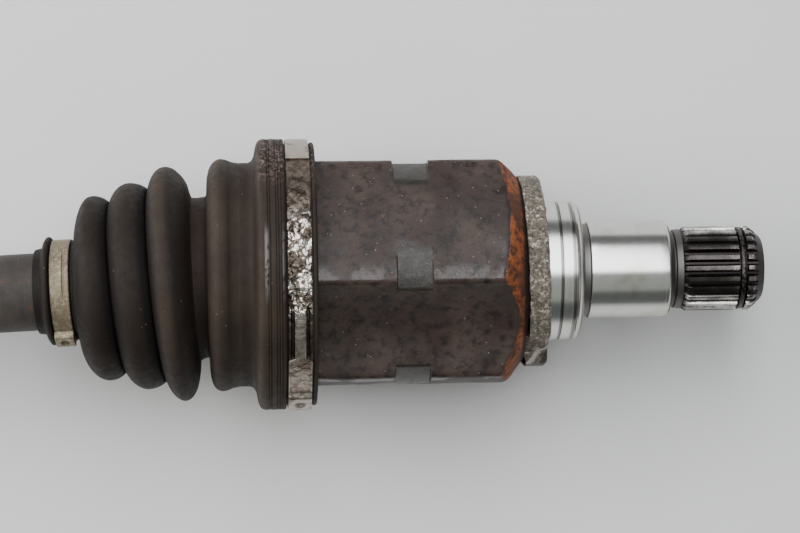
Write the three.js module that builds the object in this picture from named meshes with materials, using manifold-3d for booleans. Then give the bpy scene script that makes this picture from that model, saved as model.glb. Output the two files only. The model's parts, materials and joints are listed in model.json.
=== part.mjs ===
// A front-wheel-drive half-shaft (CV axle), in millimetres, lying on a floor with +Z up.
// +X runs along the shaft to the gearbox end, where a plunging tripod joint sits in a
// three-lobed forged housing with a splined stub. The wheel end has a fixed six-ball joint.
// Every piece is one closed solid in its own mesh, and touching pieces keep a small gap.

import * as THREE from 'three';
import { mergeVertices } from 'three/addons/utils/BufferGeometryUtils.js';
import Module from 'manifold-3d';

const wasm = await Module();
wasm.setup();

const rad = THREE.MathUtils.degToRad;

// ---- driving dimensions -------------------------------------------------------------

const GAP = 0.3;                    // clearance between pieces that touch
const ROUND = 28;                   // sides of a large turned piece
const SMALL_ROUND = 20;             // sides of a small turned piece

const JOINT_SPACING = 350;          // tripod centre to ball-joint centre
const NOSE_DOWN = 3.4;              // degrees the housing dips towards its stub as it lies
const SIDE_BEND = 2.5;              // degrees the housing is bent towards -Y as it lies

const SHAFT_R = 13.65;
const SEAT_R = 12.0;                // splined seats of the spider and the inner race
const SEAT_HALF = 12.5;             // half length of those seats
const NECK_R = 11.0;                // waisted stretches beside both joints

// Tripod housing. Lengths run along its own axis from the tripod centre to the stub.
const LOBES = 3;
const LOBE_ANGLE = 30;              // first lobe, in degrees from +Z towards +Y
const LOBE_FACE = 39.2;             // axis to the middle of a lobe's outer face
const LOBE_FACE_R = 100;            // radius of that slightly crowned face
const RIDGE_AT = 32.5;              // degrees from the lobe's middle to its ridge
const RIDGE_R = 43.2;
const VALLEY_R = 35.0;
const VALLEY_POWER = 2.2;           // how steeply a flank falls from the ridge
const MOUTH_X = -36;
const TURNED_FROM = 8.4;            // shallow turned band across the ridges
const TURNED_TO = 20.8;
const TURNED_R = 40.8;
const CONE_FROM = 41.3;
const CONE_TO = 52;
const CONE_END_R = 33.3;
const TRACK_HALF = 17.3;            // half width of a roller track
const TRACK_R = 34;
const BORE_R = 24.5;
const BORE_END = 40;
const SHOULDER_FROM = 59;
const SHOULDER_TO = 75;
const SHOULDER_R = 24.5;
const JOURNAL_R = 17;
const JOURNAL_FROM = 77;
const JOURNAL_TO = 103;
const SPLINE_FROM = 110;
const SPLINE_TO = 137;
const SPLINE_TIP_R = 14.7;
const SPLINE_ROOT_R = 13.3;
const SPLINE_TEETH = 24;
const STUB_END = 139.5;
const RING_GROOVE_FROM = 128.5;
const RING_GROOVE_TO = 131;
const RING_GROOVE_R = 12.6;

// Tripod: spider, rollers and their needle sets.
const HUB_R = 16.6;
const TRUNNION_R = 8.6;
const TRUNNION_TIP = 31.2;
const ROLLER_PITCH = 22.5;
const ROLLER_R = 16.5;
const ROLLER_WIDTH = 11;
const ROLLER_BORE_R = 12.4;
const NEEDLES = 14;
const TRUNNION_RING_AT = 28.9;      // snap ring over the roller, outwards from the axis
const TRUNNION_RING_THICK = 1.2;

// Ball joint. Lengths run along +X from its centre.
const BALLS = 6;
const BALL_R = 8.7;
const BALL_PITCH = 29.5;
const CAGE_INNER_R = 27;
const CAGE_OUTER_R = 32.4;
const CAGE_HALF = 13;
const RACE_SPHERE_R = 26.5;
const RACE_HALF = 12;
const BELL_SPHERE_R = 33.7;
const BELL_R = 45.7;
const BELL_SEAT_R = 42.4;
const BELL_MOUTH = 16;
const MOUTH_BORE_R = 30.7;
const BALL_GROOVE_R = 10.6;         // room for the ball's side shift at full angle
const WHEEL_STUB_END = -112;

// ---- colours ------------------------------------------------------------------------

const metal = (color, roughness) => new THREE.MeshStandardMaterial({ color, roughness, metalness: 1 });
const coated = (color, roughness) => new THREE.MeshStandardMaterial({ color, roughness, metalness: 0.2 });
const FORGING = coated(0x241f1d, 0.55);
const SHAFT_COAT = coated(0x463e3a, 0.7);
const RUBBER = new THREE.MeshStandardMaterial({ color: 0x3a332e, roughness: 0.85, metalness: 0 });
const BRIGHT = metal(0xb4b2ac, 0.28);
const BAND = metal(0xa9a8a2, 0.35);
const ZINC = metal(0x82806a, 0.5);
const GREASED = metal(0x77726a, 0.32);

// ---- making and joining solids ------------------------------------------------------

// Signed volume of an indexed triangle mesh, positive when its faces point out.
function signedVolume(points, triangles) {
  const corners = [new THREE.Vector3(), new THREE.Vector3(), new THREE.Vector3()];
  let volume = 0;
  for (let i = 0; i < triangles.length; i += 3) {
    corners.forEach((corner, k) => corner.fromArray(points, 3 * triangles[i + k]));
    volume += corners[0].dot(corners[1].cross(corners[2])) / 6;
  }
  return volume;
}

// A closed three.js geometry as a manifold solid with its faces pointing out.
function solidOf(geometry) {
  const bare = geometry.clone();
  bare.deleteAttribute('normal');
  bare.deleteAttribute('uv');
  const merged = mergeVertices(bare, 1e-4);
  const points = merged.attributes.position.array;
  const triangles = [];
  for (let i = 0; i < merged.index.count; i += 3) {
    const [a, b, c] = [0, 1, 2].map((k) => merged.index.getX(i + k));
    if (a !== b && b !== c && c !== a) {
      triangles.push(a, b, c);
    }
  }
  if (signedVolume(points, triangles) < 0) {
    triangles.reverse();
  }
  return new wasm.Manifold(new wasm.Mesh({
    numProp: 3,
    vertProperties: Float32Array.from(points),
    triVerts: Uint32Array.from(triangles),
  }));
}

function geometryOf(solid) {
  const mesh = solid.getMesh();
  const geometry = new THREE.BufferGeometry();
  geometry.setAttribute('position', new THREE.BufferAttribute(Float32Array.from(mesh.vertProperties), 3));
  geometry.setIndex(Array.from(mesh.triVerts));
  geometry.computeVertexNormals();
  return geometry;
}

// A solid of revolution about X from a closed outline of [x, radius] points.
function turnedGeometry(outline, sides = ROUND) {
  const first = outline[0];
  const closed = first[1] === 0 ? outline : [...outline, first];
  const profile = closed.map(([x, radius]) => new THREE.Vector2(radius, x));
  return new THREE.LatheGeometry(profile, sides).rotateZ(-Math.PI / 2);
}

const turned = (outline, sides) => solidOf(turnedGeometry(outline, sides));

// A plain bar or ring between two stations.
const disc = (from, to, radius, sides) => turned([[from, 0], [from, radius], [to, radius], [to, 0]], sides);
const ring = (from, to, inner, outer, sides) =>
  turned([[from, inner], [from, outer], [to, outer], [to, inner]], sides);

// A prism along X from a shape drawn in the Y (across) and Z (up) plane.
function prism(shape, from, to) {
  const geometry = new THREE.ExtrudeGeometry(shape, { depth: to - from, bevelEnabled: false, curveSegments: 7 });
  const alongX = new THREE.Matrix4().makeBasis(
    new THREE.Vector3(0, 1, 0),
    new THREE.Vector3(0, 0, 1),
    new THREE.Vector3(1, 0, 0),
  );
  return solidOf(geometry.applyMatrix4(alongX).translate(from, 0, 0));
}

const box = (sizeX, sizeY, sizeZ, x, y, z) =>
  solidOf(new THREE.BoxGeometry(sizeX, sizeY, sizeZ).translate(x, y, z));

// Unit vector across the axis, at an angle from +Z towards +Y.
const across = (degrees) => new THREE.Vector3(0, Math.sin(rad(degrees)), Math.cos(rad(degrees)));

// The same solid turned about X by an angle from +Z towards +Y.
function spun(solid, degrees) {
  const mesh = geometryOf(solid);
  return solidOf(mesh.rotateX(-rad(degrees)));
}

function joinAll(solids) {
  return solids.reduce((sum, next) => sum.add(next));
}

// An open wire ring: a flat C with a gap, as snap rings are.
function snapRingShape(inner, outer, gapDegrees) {
  const start = rad(gapDegrees / 2);
  const end = 2 * Math.PI - start;
  const shape = new THREE.Shape();
  shape.absarc(0, 0, outer, start, end, false);
  shape.absarc(0, 0, inner, end, start, true);
  return shape;
}

function outlineShape(points) {
  return new THREE.Shape(points.map(([y, z]) => new THREE.Vector2(y, z)));
}

// A polar outline with straight-flanked teeth, as on a spline.
function toothedOutline(teeth, rootRadius, tipRadius) {
  const pitch = 360 / teeth;
  const points = [];
  for (let tooth = 0; tooth < teeth; tooth += 1) {
    const corners = [[-0.5, rootRadius], [-0.17, tipRadius], [0.17, tipRadius]];
    corners.forEach(([share, radius]) => {
      const direction = across(-(tooth + share) * pitch);
      points.push([radius * direction.y, radius * direction.z]);
    });
  }
  return outlineShape(points);
}

// ---- tripod housing -----------------------------------------------------------------

// Distance from the axis to the three-lobed surface, by the angle from a lobe's middle.
function lobeRadius(fromLobe) {
  const angle = Math.abs(fromLobe);
  if (angle <= RIDGE_AT) {
    const centre = LOBE_FACE_R - LOBE_FACE;
    const aside = centre * Math.sin(rad(angle));
    return Math.sqrt(LOBE_FACE_R ** 2 - aside ** 2) - centre * Math.cos(rad(angle));
  }
  const fall = (angle - RIDGE_AT) / (180 / LOBES - RIDGE_AT);
  return VALLEY_R + (RIDGE_R - VALLEY_R) * (1 - fall) ** VALLEY_POWER;
}

function trilobeShape(extra = 0) {
  const offsets = [-60, -47, -39, -35, -32.5, -17, 0, 17, 32.5, 35, 39, 47];
  const points = [];
  for (let lobe = 0; lobe < LOBES; lobe += 1) {
    offsets.forEach((offset) => {
      const direction = across(LOBE_ANGLE + (lobe * 360) / LOBES + offset);
      const radius = lobeRadius(offset) + extra;
      points.push([radius * direction.y, radius * direction.z]);
    });
  }
  return outlineShape(points);
}

function rollerTrack(lobe) {
  const straight = Math.sqrt(TRACK_R ** 2 - TRACK_HALF ** 2);
  const cornerAngle = Math.atan2(straight, TRACK_HALF);
  const shape = new THREE.Shape();
  shape.moveTo(TRACK_HALF, 0);
  shape.lineTo(TRACK_HALF, straight);
  shape.absarc(0, 0, TRACK_R, cornerAngle, Math.PI - cornerAngle, false);
  shape.lineTo(-TRACK_HALF, 0);
  return spun(prism(shape, MOUTH_X - 1, BORE_END), LOBE_ANGLE + (lobe * 360) / LOBES);
}

function housingSolid() {
  const envelope = turned([
    [MOUTH_X, 0],
    [MOUTH_X, RIDGE_R - 0.8],
    [MOUTH_X + 1.5, RIDGE_R + 0.6],
    [TURNED_FROM, RIDGE_R + 0.6],
    [TURNED_FROM, TURNED_R],
    [TURNED_TO, TURNED_R],
    [TURNED_TO, RIDGE_R + 0.6],
    [CONE_FROM, RIDGE_R + 0.6],
    [CONE_TO, CONE_END_R],
    [CONE_TO, 0],
  ], ROUND);
  const forging = prism(trilobeShape(), MOUTH_X, CONE_TO).intersect(envelope);
  const stub = turned([
    [CONE_TO - 4, 0],
    [CONE_TO - 4, SHOULDER_R + 0.5],
    [SHOULDER_FROM, SHOULDER_R + 0.5],
    [SHOULDER_FROM, SHOULDER_R],
    [SHOULDER_TO - 4.5, SHOULDER_R],
    [SHOULDER_TO - 1.4, SHOULDER_R - 1.4],
    [SHOULDER_TO, SHOULDER_R - 4.5],
    [SHOULDER_TO, JOURNAL_R - 0.4],
    [JOURNAL_FROM, JOURNAL_R - 0.4],
    [JOURNAL_FROM, JOURNAL_R],
    [JOURNAL_TO, JOURNAL_R],
    [JOURNAL_TO + 2, 14.4],
    [SPLINE_FROM, SPLINE_ROOT_R],
    [SPLINE_TO, SPLINE_ROOT_R],
    [STUB_END, SPLINE_ROOT_R - 2.3],
    [STUB_END, 0],
  ], 28);
  const teeth = prism(toothedOutline(SPLINE_TEETH, SPLINE_ROOT_R - 0.1, SPLINE_TIP_R), SPLINE_FROM - 1, SPLINE_TO);
  const toothEnds = turned([
    [SPLINE_FROM - 2, 0],
    [SPLINE_FROM - 2, SPLINE_ROOT_R - 0.2],
    [SPLINE_FROM, SPLINE_TIP_R + 0.2],
    [SPLINE_TO - 2, SPLINE_TIP_R + 0.2],
    [SPLINE_TO, SPLINE_ROOT_R - 0.2],
    [SPLINE_TO, 0],
  ]);
  const groove = ring(RING_GROOVE_FROM, RING_GROOVE_TO, RING_GROOVE_R, SPLINE_TIP_R + 2);
  const tracks = [0, 1, 2].map(rollerTrack);
  const bore = turned([
    [MOUTH_X - 1, 0],
    [MOUTH_X - 1, 30.6],
    [MOUTH_X + 10, BORE_R],
    [BORE_END, BORE_R],
    [BORE_END, 0],
  ]);
  const trackEnds = turned([
    [MOUTH_X - 2, 0],
    [MOUTH_X - 2, TRACK_R + 2],
    [BORE_END - 5, TRACK_R + 2],
    [BORE_END, TRACK_R - 7],
    [BORE_END, 0],
  ]);
  const hollow = joinAll([...tracks, bore]).intersect(trackEnds);
  return forging.add(stub).add(teeth.intersect(toothEnds)).subtract(groove).subtract(hollow);
}

// A pressed channel ring over the seat behind the cone.
function deflectorSolid() {
  const inner = SHOULDER_R + 0.5 + GAP;
  const outer = CONE_END_R + 0.3;
  const sheet = 1.6;
  const from = CONE_TO + GAP;
  const to = SHOULDER_FROM + 0.2;
  return turned([
    [from, inner],
    [from, inner + sheet],
    [to - sheet, inner + sheet],
    [to - sheet, outer - sheet],
    [from, outer - sheet],
    [from, outer],
    [to, outer],
    [to, inner],
  ]);
}

// ---- tripod -------------------------------------------------------------------------

// A solid turned about X is laid along a trunnion and moved out to its place.
function onTrunnion(solid, number) {
  const direction = across(LOBE_ANGLE + (number * 360) / LOBES);
  const turn = new THREE.Quaternion().setFromUnitVectors(new THREE.Vector3(1, 0, 0), direction);
  return solidOf(geometryOf(solid).applyQuaternion(turn));
}

function spiderSolid() {
  const hub = ring(-SEAT_HALF + 1, SEAT_HALF - 1, SEAT_R + GAP, HUB_R, SMALL_ROUND);
  const grooveFrom = TRUNNION_RING_AT - GAP;
  const grooveTo = TRUNNION_RING_AT + TRUNNION_RING_THICK + GAP;
  const trunnion = turned([
    [SEAT_R + 2, 0],
    [SEAT_R + 2, TRUNNION_R],
    [grooveFrom, TRUNNION_R],
    [grooveFrom, TRUNNION_R - 1.2],
    [grooveTo, TRUNNION_R - 1.2],
    [grooveTo, TRUNNION_R],
    [TRUNNION_TIP - 0.6, TRUNNION_R],
    [TRUNNION_TIP, TRUNNION_R - 0.7],
    [TRUNNION_TIP, 0],
  ], 14);
  return joinAll([hub, ...[0, 1, 2].map((number) => onTrunnion(trunnion, number))]);
}

function rollerSolid(number) {
  const half = ROLLER_WIDTH / 2;
  const outline = [[ROLLER_PITCH - half, ROLLER_BORE_R]];
  for (const along of [-half, -half * 0.55, 0, half * 0.55, half]) {
    outline.push([ROLLER_PITCH + along, Math.sqrt(ROLLER_R ** 2 - along ** 2)]);
  }
  outline.push([ROLLER_PITCH + half, ROLLER_BORE_R]);
  return onTrunnion(turned(outline, SMALL_ROUND + 2), number);
}

// The needles lie shoulder to shoulder, drawn as one corrugated sleeve.
function needleSetSolid(number) {
  const inner = TRUNNION_R + GAP;
  const outer = ROLLER_BORE_R - GAP - 0.1;
  const middle = (inner + outer) / 2;
  const depth = (outer - inner) / 2;
  const outside = [];
  const inside = [];
  for (let step = 0; step < 2 * NEEDLES; step += 1) {
    const wave = step % 2 === 0 ? 1 : 0.45;
    const angle = (step * Math.PI) / NEEDLES;
    outside.push([(middle + depth * wave) * Math.cos(angle), (middle + depth * wave) * Math.sin(angle)]);
    inside.push([(middle - depth * wave) * Math.cos(angle), (middle - depth * wave) * Math.sin(angle)]);
  }
  const shape = outlineShape(outside);
  shape.holes.push(new THREE.Path(inside.reverse().map(([y, z]) => new THREE.Vector2(y, z))));
  const half = ROLLER_WIDTH / 2 - 0.4;
  return onTrunnion(prism(shape, ROLLER_PITCH - half, ROLLER_PITCH + half), number);
}

function trunnionRingSolid(number) {
  const shape = snapRingShape(TRUNNION_R - 0.9, ROLLER_BORE_R + 0.8, 40);
  return onTrunnion(prism(shape, TRUNNION_RING_AT, TRUNNION_RING_AT + TRUNNION_RING_THICK), number);
}

// ---- ball joint ---------------------------------------------------------------------

// Half a torus along a ball's path on one side of the axis, as the tool that cuts its groove.
function grooveTool(number) {
  const side = box(200, 200, 100, 0, 0, 50);
  const torus = new THREE.TorusGeometry(BALL_PITCH, BALL_GROOVE_R, 8, 20).rotateX(rad(90));
  return spun(solidOf(torus).intersect(side), (number * 360) / BALLS);
}

const BALL_NUMBERS = Array.from({ length: BALLS }, (_, number) => number);

function innerRaceSolid() {
  const outline = [[-RACE_HALF, SEAT_R + GAP]];
  for (let step = 0; step <= 6; step += 1) {
    const x = -RACE_HALF + (step * RACE_HALF) / 3;
    outline.push([x, Math.sqrt(RACE_SPHERE_R ** 2 - x ** 2)]);
  }
  outline.push([RACE_HALF, SEAT_R + GAP]);
  const blank = turned(outline, ROUND);
  return BALL_NUMBERS.reduce((race, number) => race.subtract(grooveTool(number)), blank);
}

function cageSolid() {
  const outline = [];
  for (let step = 0; step <= 4; step += 1) {
    const x = -CAGE_HALF + (step * CAGE_HALF) / 2;
    outline.push([x, Math.sqrt(CAGE_OUTER_R ** 2 - x ** 2)]);
  }
  for (let step = 4; step >= 0; step -= 1) {
    const x = -CAGE_HALF + (step * CAGE_HALF) / 2;
    outline.push([x, Math.sqrt(CAGE_INNER_R ** 2 - x ** 2) + 0.15]);
  }
  const window = box(2 * (BALL_R + GAP), 2 * (BALL_R + 1), 20, 0, 0, BALL_PITCH);
  const shell = turned(outline, ROUND);
  const turns = BALL_NUMBERS.map((number) => (number * 360) / BALLS);
  return turns.reduce((cage, turn) => cage.subtract(spun(window, turn)), shell);
}

function ballSolid(number) {
  const ball = new THREE.IcosahedronGeometry(BALL_R, 2);
  ball.translate(0, 0, BALL_PITCH);
  return spun(solidOf(ball), (number * 360) / BALLS);
}

function outerRaceSolid() {
  const bell = turned([
    [BELL_MOUTH, 0],
    [BELL_MOUTH, BELL_SEAT_R - 1],
    [BELL_MOUTH - 1, BELL_SEAT_R],
    [-7, BELL_SEAT_R],
    [-7, BELL_R],
    [-30, BELL_R],
    [-34, BELL_R - 1.6],
    [-42, 38],
    [-47, 30],
    [-48, 28],
    [-48, 0],
  ], ROUND);
  const hollow = [[BELL_MOUTH + 1, 0], [BELL_MOUTH + 1, MOUTH_BORE_R], [13.3, MOUTH_BORE_R]];
  for (let step = 0; step <= 5; step += 1) {
    const x = 12 - step * 8.4;
    hollow.push([x, Math.sqrt(BELL_SPHERE_R ** 2 - x ** 2)]);
  }
  hollow.push([-32, 8], [-32, 0]);
  const stub = turned([
    [-40, 0],
    [-40, 29],
    [-49, 29],
    [-49, 27.5],
    [-50, 26.5],
    [-50, 17.6],
    [-51, 17.5],
    [-58, 17.5],
    [-58, 14],
    [-86, 14],
    [-87.5, 12.4],
    [-87.5, 11],
    [-89, 11],
    [WHEEL_STUB_END + 1.5, 11],
    [WHEEL_STUB_END, 9.5],
    [WHEEL_STUB_END, 0],
  ], 28);
  const teeth = prism(toothedOutline(26, 13.2, 14.4), -85, -57);
  const grooves = BALL_NUMBERS.map(grooveTool);
  const hollowed = bell.subtract(turned(hollow, SMALL_ROUND));
  const grooved = grooves.reduce((body, groove) => body.subtract(groove), hollowed);
  const closer = turned([[-30.5, 0], [-30.5, 20], [-36, 36], [-44, 30], [-44, 0]], ROUND);
  return grooved.add(closer).add(stub).add(teeth);
}

// ---- shaft --------------------------------------------------------------------------

// Both ends are waisted beside the joint and splined where the joint's hub sits.
function shaftSolid() {
  const ballEnd = -JOINT_SPACING;
  return turned([
    [ballEnd - SEAT_HALF - 3.5, 0],
    [ballEnd - SEAT_HALF - 3.5, SEAT_R - 1],
    [ballEnd - SEAT_HALF - 2.4, SEAT_R],
    [ballEnd - SEAT_HALF - 1.5, SEAT_R],
    [ballEnd - SEAT_HALF - 1.5, SEAT_R - 1.4],
    [ballEnd - SEAT_HALF + 0.1, SEAT_R - 1.4],
    [ballEnd - SEAT_HALF + 0.1, SEAT_R],
    [ballEnd + SEAT_HALF, SEAT_R],
    [ballEnd + SEAT_HALF + 2, NECK_R],
    [ballEnd + 32, NECK_R],
    [ballEnd + 37, SHAFT_R],
    [-66, SHAFT_R],
    [-60, NECK_R],
    [-SEAT_HALF - 2, NECK_R],
    [-SEAT_HALF, SEAT_R],
    [SEAT_HALF - 0.1, SEAT_R],
    [SEAT_HALF - 0.1, SEAT_R - 1.4],
    [SEAT_HALF + 1.5, SEAT_R - 1.4],
    [SEAT_HALF + 1.5, SEAT_R],
    [SEAT_HALF + 2.4, SEAT_R],
    [SEAT_HALF + 3.5, SEAT_R - 1],
    [SEAT_HALF + 3.5, 0],
  ], 24);
}

function seatRingSolid(from, to) {
  return prism(snapRingShape(SEAT_R - 0.9, SEAT_R + 1.7, 50), from, to);
}

// ---- boots and clamps ---------------------------------------------------------------

// The folds of a bellows as [x, radius, crown]: crown is the half width of a rounded peak,
// and 0 in a valley. The outer outline rounds the peaks, and the inner one is the same
// folds drawn in by the wall.
const BOOT_ROUND = 20;
const BOOT_WALL = 2.2;
const CROWN_DROP = 1.5;

function foldedOutside(folds) {
  return folds.flatMap(([x, radius, crown]) => {
    if (crown === 0) {
      return [[x, radius]];
    }
    return [[x - crown, radius - CROWN_DROP], [x, radius], [x + crown, radius - CROWN_DROP]];
  });
}

const foldedInside = (folds) => folds.map(([x, radius]) => [x, radius - BOOT_WALL]).reverse();

const INNER_BOOT_FOLDS = [
  [-92, 32.5, 2.6],
  [-87, 24.2, 0],
  [-79, 35.9, 2.6],
  [-73.5, 26, 0],
  [-66.7, 40.5, 2.8],
  [-60.5, 28, 0],
  [-56.5, 27.5, 0],
  [-50, 41, 3],
  [-43, 39.1, 0],
];
const COLLAR_R = 47.4;
const COLLAR_TO = -28.6;
const CLAMP_SEAT_R = 45.7;
const CLAMP_FROM = -28.3;
const CLAMP_TO = -20.1;
const LIP_TO = -18;

// The boot follows the shaft at its small end and the housing at its collar.
const BEND_FROM = -68;
const BEND_TO = -50;

function innerBootSolid(bend) {
  const pocket = MOUTH_X - 0.5;
  const bore = SHAFT_R + GAP;
  const outline = [
    [-116.4, 14.6],
    [-112, 18.6],
    [-109.7, 18.8],
    [-109.6, 16.6],
    [-102.4, 16.6],
    [-99, 19.4],
    ...foldedOutside(INNER_BOOT_FOLDS),
    [-40.6, 39.1],
    [-38.4, 43.6],
    [-36.8, COLLAR_R],
    [COLLAR_TO, COLLAR_R],
    [COLLAR_TO, CLAMP_SEAT_R],
    [CLAMP_TO + 0.3, CLAMP_SEAT_R],
    [CLAMP_TO + 0.3, CLAMP_SEAT_R + 0.4],
    [LIP_TO, CLAMP_SEAT_R + 0.2],
    [LIP_TO, 30],
    [pocket + GAP, 30],
    [pocket + GAP, 37],
    ...foldedInside(INNER_BOOT_FOLDS),
    [-98, 17],
    [-103, bore],
    [-116.4, bore],
  ];
  const geometry = turnedGeometry(outline, BOOT_ROUND);
  const points = geometry.attributes.position;
  const point = new THREE.Vector3();
  const turn = new THREE.Quaternion();
  for (let i = 0; i < points.count; i += 1) {
    point.fromBufferAttribute(points, i);
    const share = THREE.MathUtils.smoothstep(point.x, BEND_FROM, BEND_TO);
    turn.identity().slerp(bend, share);
    point.applyQuaternion(turn);
    points.setXYZ(i, point.x, point.y, point.z);
  }
  const collarHole = prism(trilobeShape(0.4), pocket, LIP_TO + 2);
  const placed = solidOf(geometryOf(collarHole).applyQuaternion(bend));
  return solidOf(geometry).subtract(placed);
}

// A band clamp with its crimped ear standing off the band.
const EAR_ANGLE = -67;              // degrees from +Z towards +Y, so on the -Y side
const EAR_HEIGHT = 2.4;

function clampSolid(from, to, inner, outer, earHalf) {
  const width = to - from;
  const middle = (from + to) / 2;
  const foot = Math.sqrt(outer ** 2 - earHalf ** 2) - 0.3;
  const top = outer + EAR_HEIGHT;
  const shape = outlineShape([
    [-earHalf, foot],
    [-earHalf + 0.8, top - 0.8],
    [-earHalf + 1.6, top],
    [earHalf - 1.6, top],
    [earHalf - 0.8, top - 0.8],
    [earHalf, foot],
  ]);
  const ear = spun(prism(shape, middle - width * 0.46, middle + width * 0.46), EAR_ANGLE);
  return ring(from, to, inner, outer, ROUND).add(ear);
}

const OUTER_BOOT_FOLDS = [
  [20, 42.4, 2.4],
  [27, 33.2, 0],
  [32, 38.6, 2.2],
  [38, 29.6, 0],
  [43, 34.6, 2.2],
  [49, 26.3, 0],
  [54, 30.6, 2.1],
  [60, 22.8, 0],
  [65, 26.6, 2],
  [71, 19.6, 0],
  [76, 22, 2],
];

function outerBootSolid() {
  const bore = SHAFT_R + GAP;
  const seat = BELL_SEAT_R + GAP + 0.5;
  return turned([
    [-6.5, seat],
    [-6.5, 45.2],
    [-3.2, 45.2],
    [-3.2, 44.2],
    [5.4, 44.2],
    [5.4, 45.2],
    [14.5, 45],
    ...foldedOutside(OUTER_BOOT_FOLDS),
    [82, 16.8],
    [91, 16.8],
    [91.4, 18.6],
    [93.5, 18.4],
    [97, 14.9],
    [97, bore],
    [82, bore],
    ...foldedInside(OUTER_BOOT_FOLDS),
    [BELL_MOUTH + GAP, 38.2],
    [BELL_MOUTH + GAP, seat],
  ], BOOT_ROUND);
}

// ---- assembly -----------------------------------------------------------------------

const axle = new THREE.Group();
axle.name = 'cv_axle';

function piece(parent, name, solid, material) {
  const mesh = new THREE.Mesh(geometryOf(solid), material.clone());
  mesh.name = name;
  parent.add(mesh);
}

const housingAxis = new THREE.Vector3(
  1,
  -Math.tan(rad(SIDE_BEND)),
  -Math.tan(rad(NOSE_DOWN)),
).normalize();
const bend = new THREE.Quaternion().setFromUnitVectors(new THREE.Vector3(1, 0, 0), housingAxis);

const tripodHousing = new THREE.Group();
tripodHousing.quaternion.copy(bend);
axle.add(tripodHousing);
piece(tripodHousing, 'inner_housing', housingSolid(), FORGING);
piece(tripodHousing, 'dust_deflector', deflectorSolid(), ZINC);
const stubRing = prism(
  snapRingShape(RING_GROOVE_R + 0.6, SPLINE_TIP_R + 0.5, 30),
  RING_GROOVE_FROM + GAP,
  RING_GROOVE_TO - GAP,
);
piece(tripodHousing, 'stub_snap_ring', stubRing, GREASED);
const largeClamp = clampSolid(CLAMP_FROM, CLAMP_TO, CLAMP_SEAT_R + GAP, CLAMP_SEAT_R + 1.7, 7);
piece(tripodHousing, 'inner_boot_large_clamp', largeClamp, BAND);

piece(axle, 'inner_boot', innerBootSolid(bend), RUBBER);
piece(axle, 'inner_boot_small_clamp', clampSolid(-109.3, -102.7, 16.9, 17.9, 4.6), ZINC);

piece(axle, 'shaft', shaftSolid(), SHAFT_COAT);
piece(axle, 'spider', spiderSolid(), GREASED);
piece(axle, 'spider_snap_ring', seatRingSolid(SEAT_HALF + 0.1, SEAT_HALF + 1.3), GREASED);
for (let number = 0; number < LOBES; number += 1) {
  piece(axle, `roller_${number + 1}`, rollerSolid(number), GREASED);
  piece(axle, `needle_set_${number + 1}`, needleSetSolid(number), GREASED);
  piece(axle, `trunnion_ring_${number + 1}`, trunnionRingSolid(number), GREASED);
}

const ballJoint = new THREE.Group();
ballJoint.position.x = -JOINT_SPACING;
axle.add(ballJoint);
piece(ballJoint, 'outer_race', outerRaceSolid(), FORGING);
piece(ballJoint, 'inner_race', innerRaceSolid(), GREASED);
piece(ballJoint, 'cage', cageSolid(), GREASED);
for (let number = 0; number < BALLS; number += 1) {
  piece(ballJoint, `ball_${number + 1}`, ballSolid(number), BRIGHT);
}
piece(ballJoint, 'race_snap_ring', seatRingSolid(-SEAT_HALF - 1.3, -SEAT_HALF - 0.1), GREASED);
piece(ballJoint, 'outer_boot', outerBootSolid(), RUBBER);
piece(ballJoint, 'outer_boot_large_clamp', clampSolid(-2.9, 5.1, 44.5, 45.5, 7), BAND);
piece(ballJoint, 'outer_boot_small_clamp', clampSolid(82.6, 90.4, 17.1, 18.1, 4.6), BAND);

// The origin is the bottom middle of the whole axle's box.
axle.updateMatrixWorld(true);
const bounds = new THREE.Box3().setFromObject(axle, true);
const middle = bounds.getCenter(new THREE.Vector3());
axle.position.set(-middle.x, -middle.y, -bounds.min.z);

export default axle;
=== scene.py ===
# The looks of a front half-shaft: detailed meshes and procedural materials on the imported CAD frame.
import json
import math

import bpy
import numpy as np
from mathutils import Matrix, Vector, noise


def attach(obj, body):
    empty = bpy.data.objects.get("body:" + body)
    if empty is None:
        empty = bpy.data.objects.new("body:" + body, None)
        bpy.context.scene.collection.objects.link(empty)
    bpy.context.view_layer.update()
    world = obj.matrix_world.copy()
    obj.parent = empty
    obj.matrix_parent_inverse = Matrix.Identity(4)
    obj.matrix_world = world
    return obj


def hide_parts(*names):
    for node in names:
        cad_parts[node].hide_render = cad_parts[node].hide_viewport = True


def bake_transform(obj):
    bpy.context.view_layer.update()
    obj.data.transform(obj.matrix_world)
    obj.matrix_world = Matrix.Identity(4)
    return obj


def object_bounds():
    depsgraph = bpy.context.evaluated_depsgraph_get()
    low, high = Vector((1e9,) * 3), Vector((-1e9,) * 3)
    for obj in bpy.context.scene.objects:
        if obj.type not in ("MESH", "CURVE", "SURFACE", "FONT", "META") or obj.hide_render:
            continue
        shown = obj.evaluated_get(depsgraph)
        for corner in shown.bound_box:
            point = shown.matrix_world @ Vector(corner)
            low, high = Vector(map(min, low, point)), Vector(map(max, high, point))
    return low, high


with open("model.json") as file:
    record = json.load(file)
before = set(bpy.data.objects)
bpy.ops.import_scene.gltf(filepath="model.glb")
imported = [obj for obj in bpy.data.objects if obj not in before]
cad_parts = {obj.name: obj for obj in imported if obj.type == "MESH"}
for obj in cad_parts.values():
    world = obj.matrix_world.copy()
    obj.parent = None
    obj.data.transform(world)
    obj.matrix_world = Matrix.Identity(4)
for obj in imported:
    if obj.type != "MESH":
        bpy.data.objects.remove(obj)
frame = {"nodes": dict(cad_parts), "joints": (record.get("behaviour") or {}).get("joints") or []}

cad_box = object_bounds()

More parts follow.
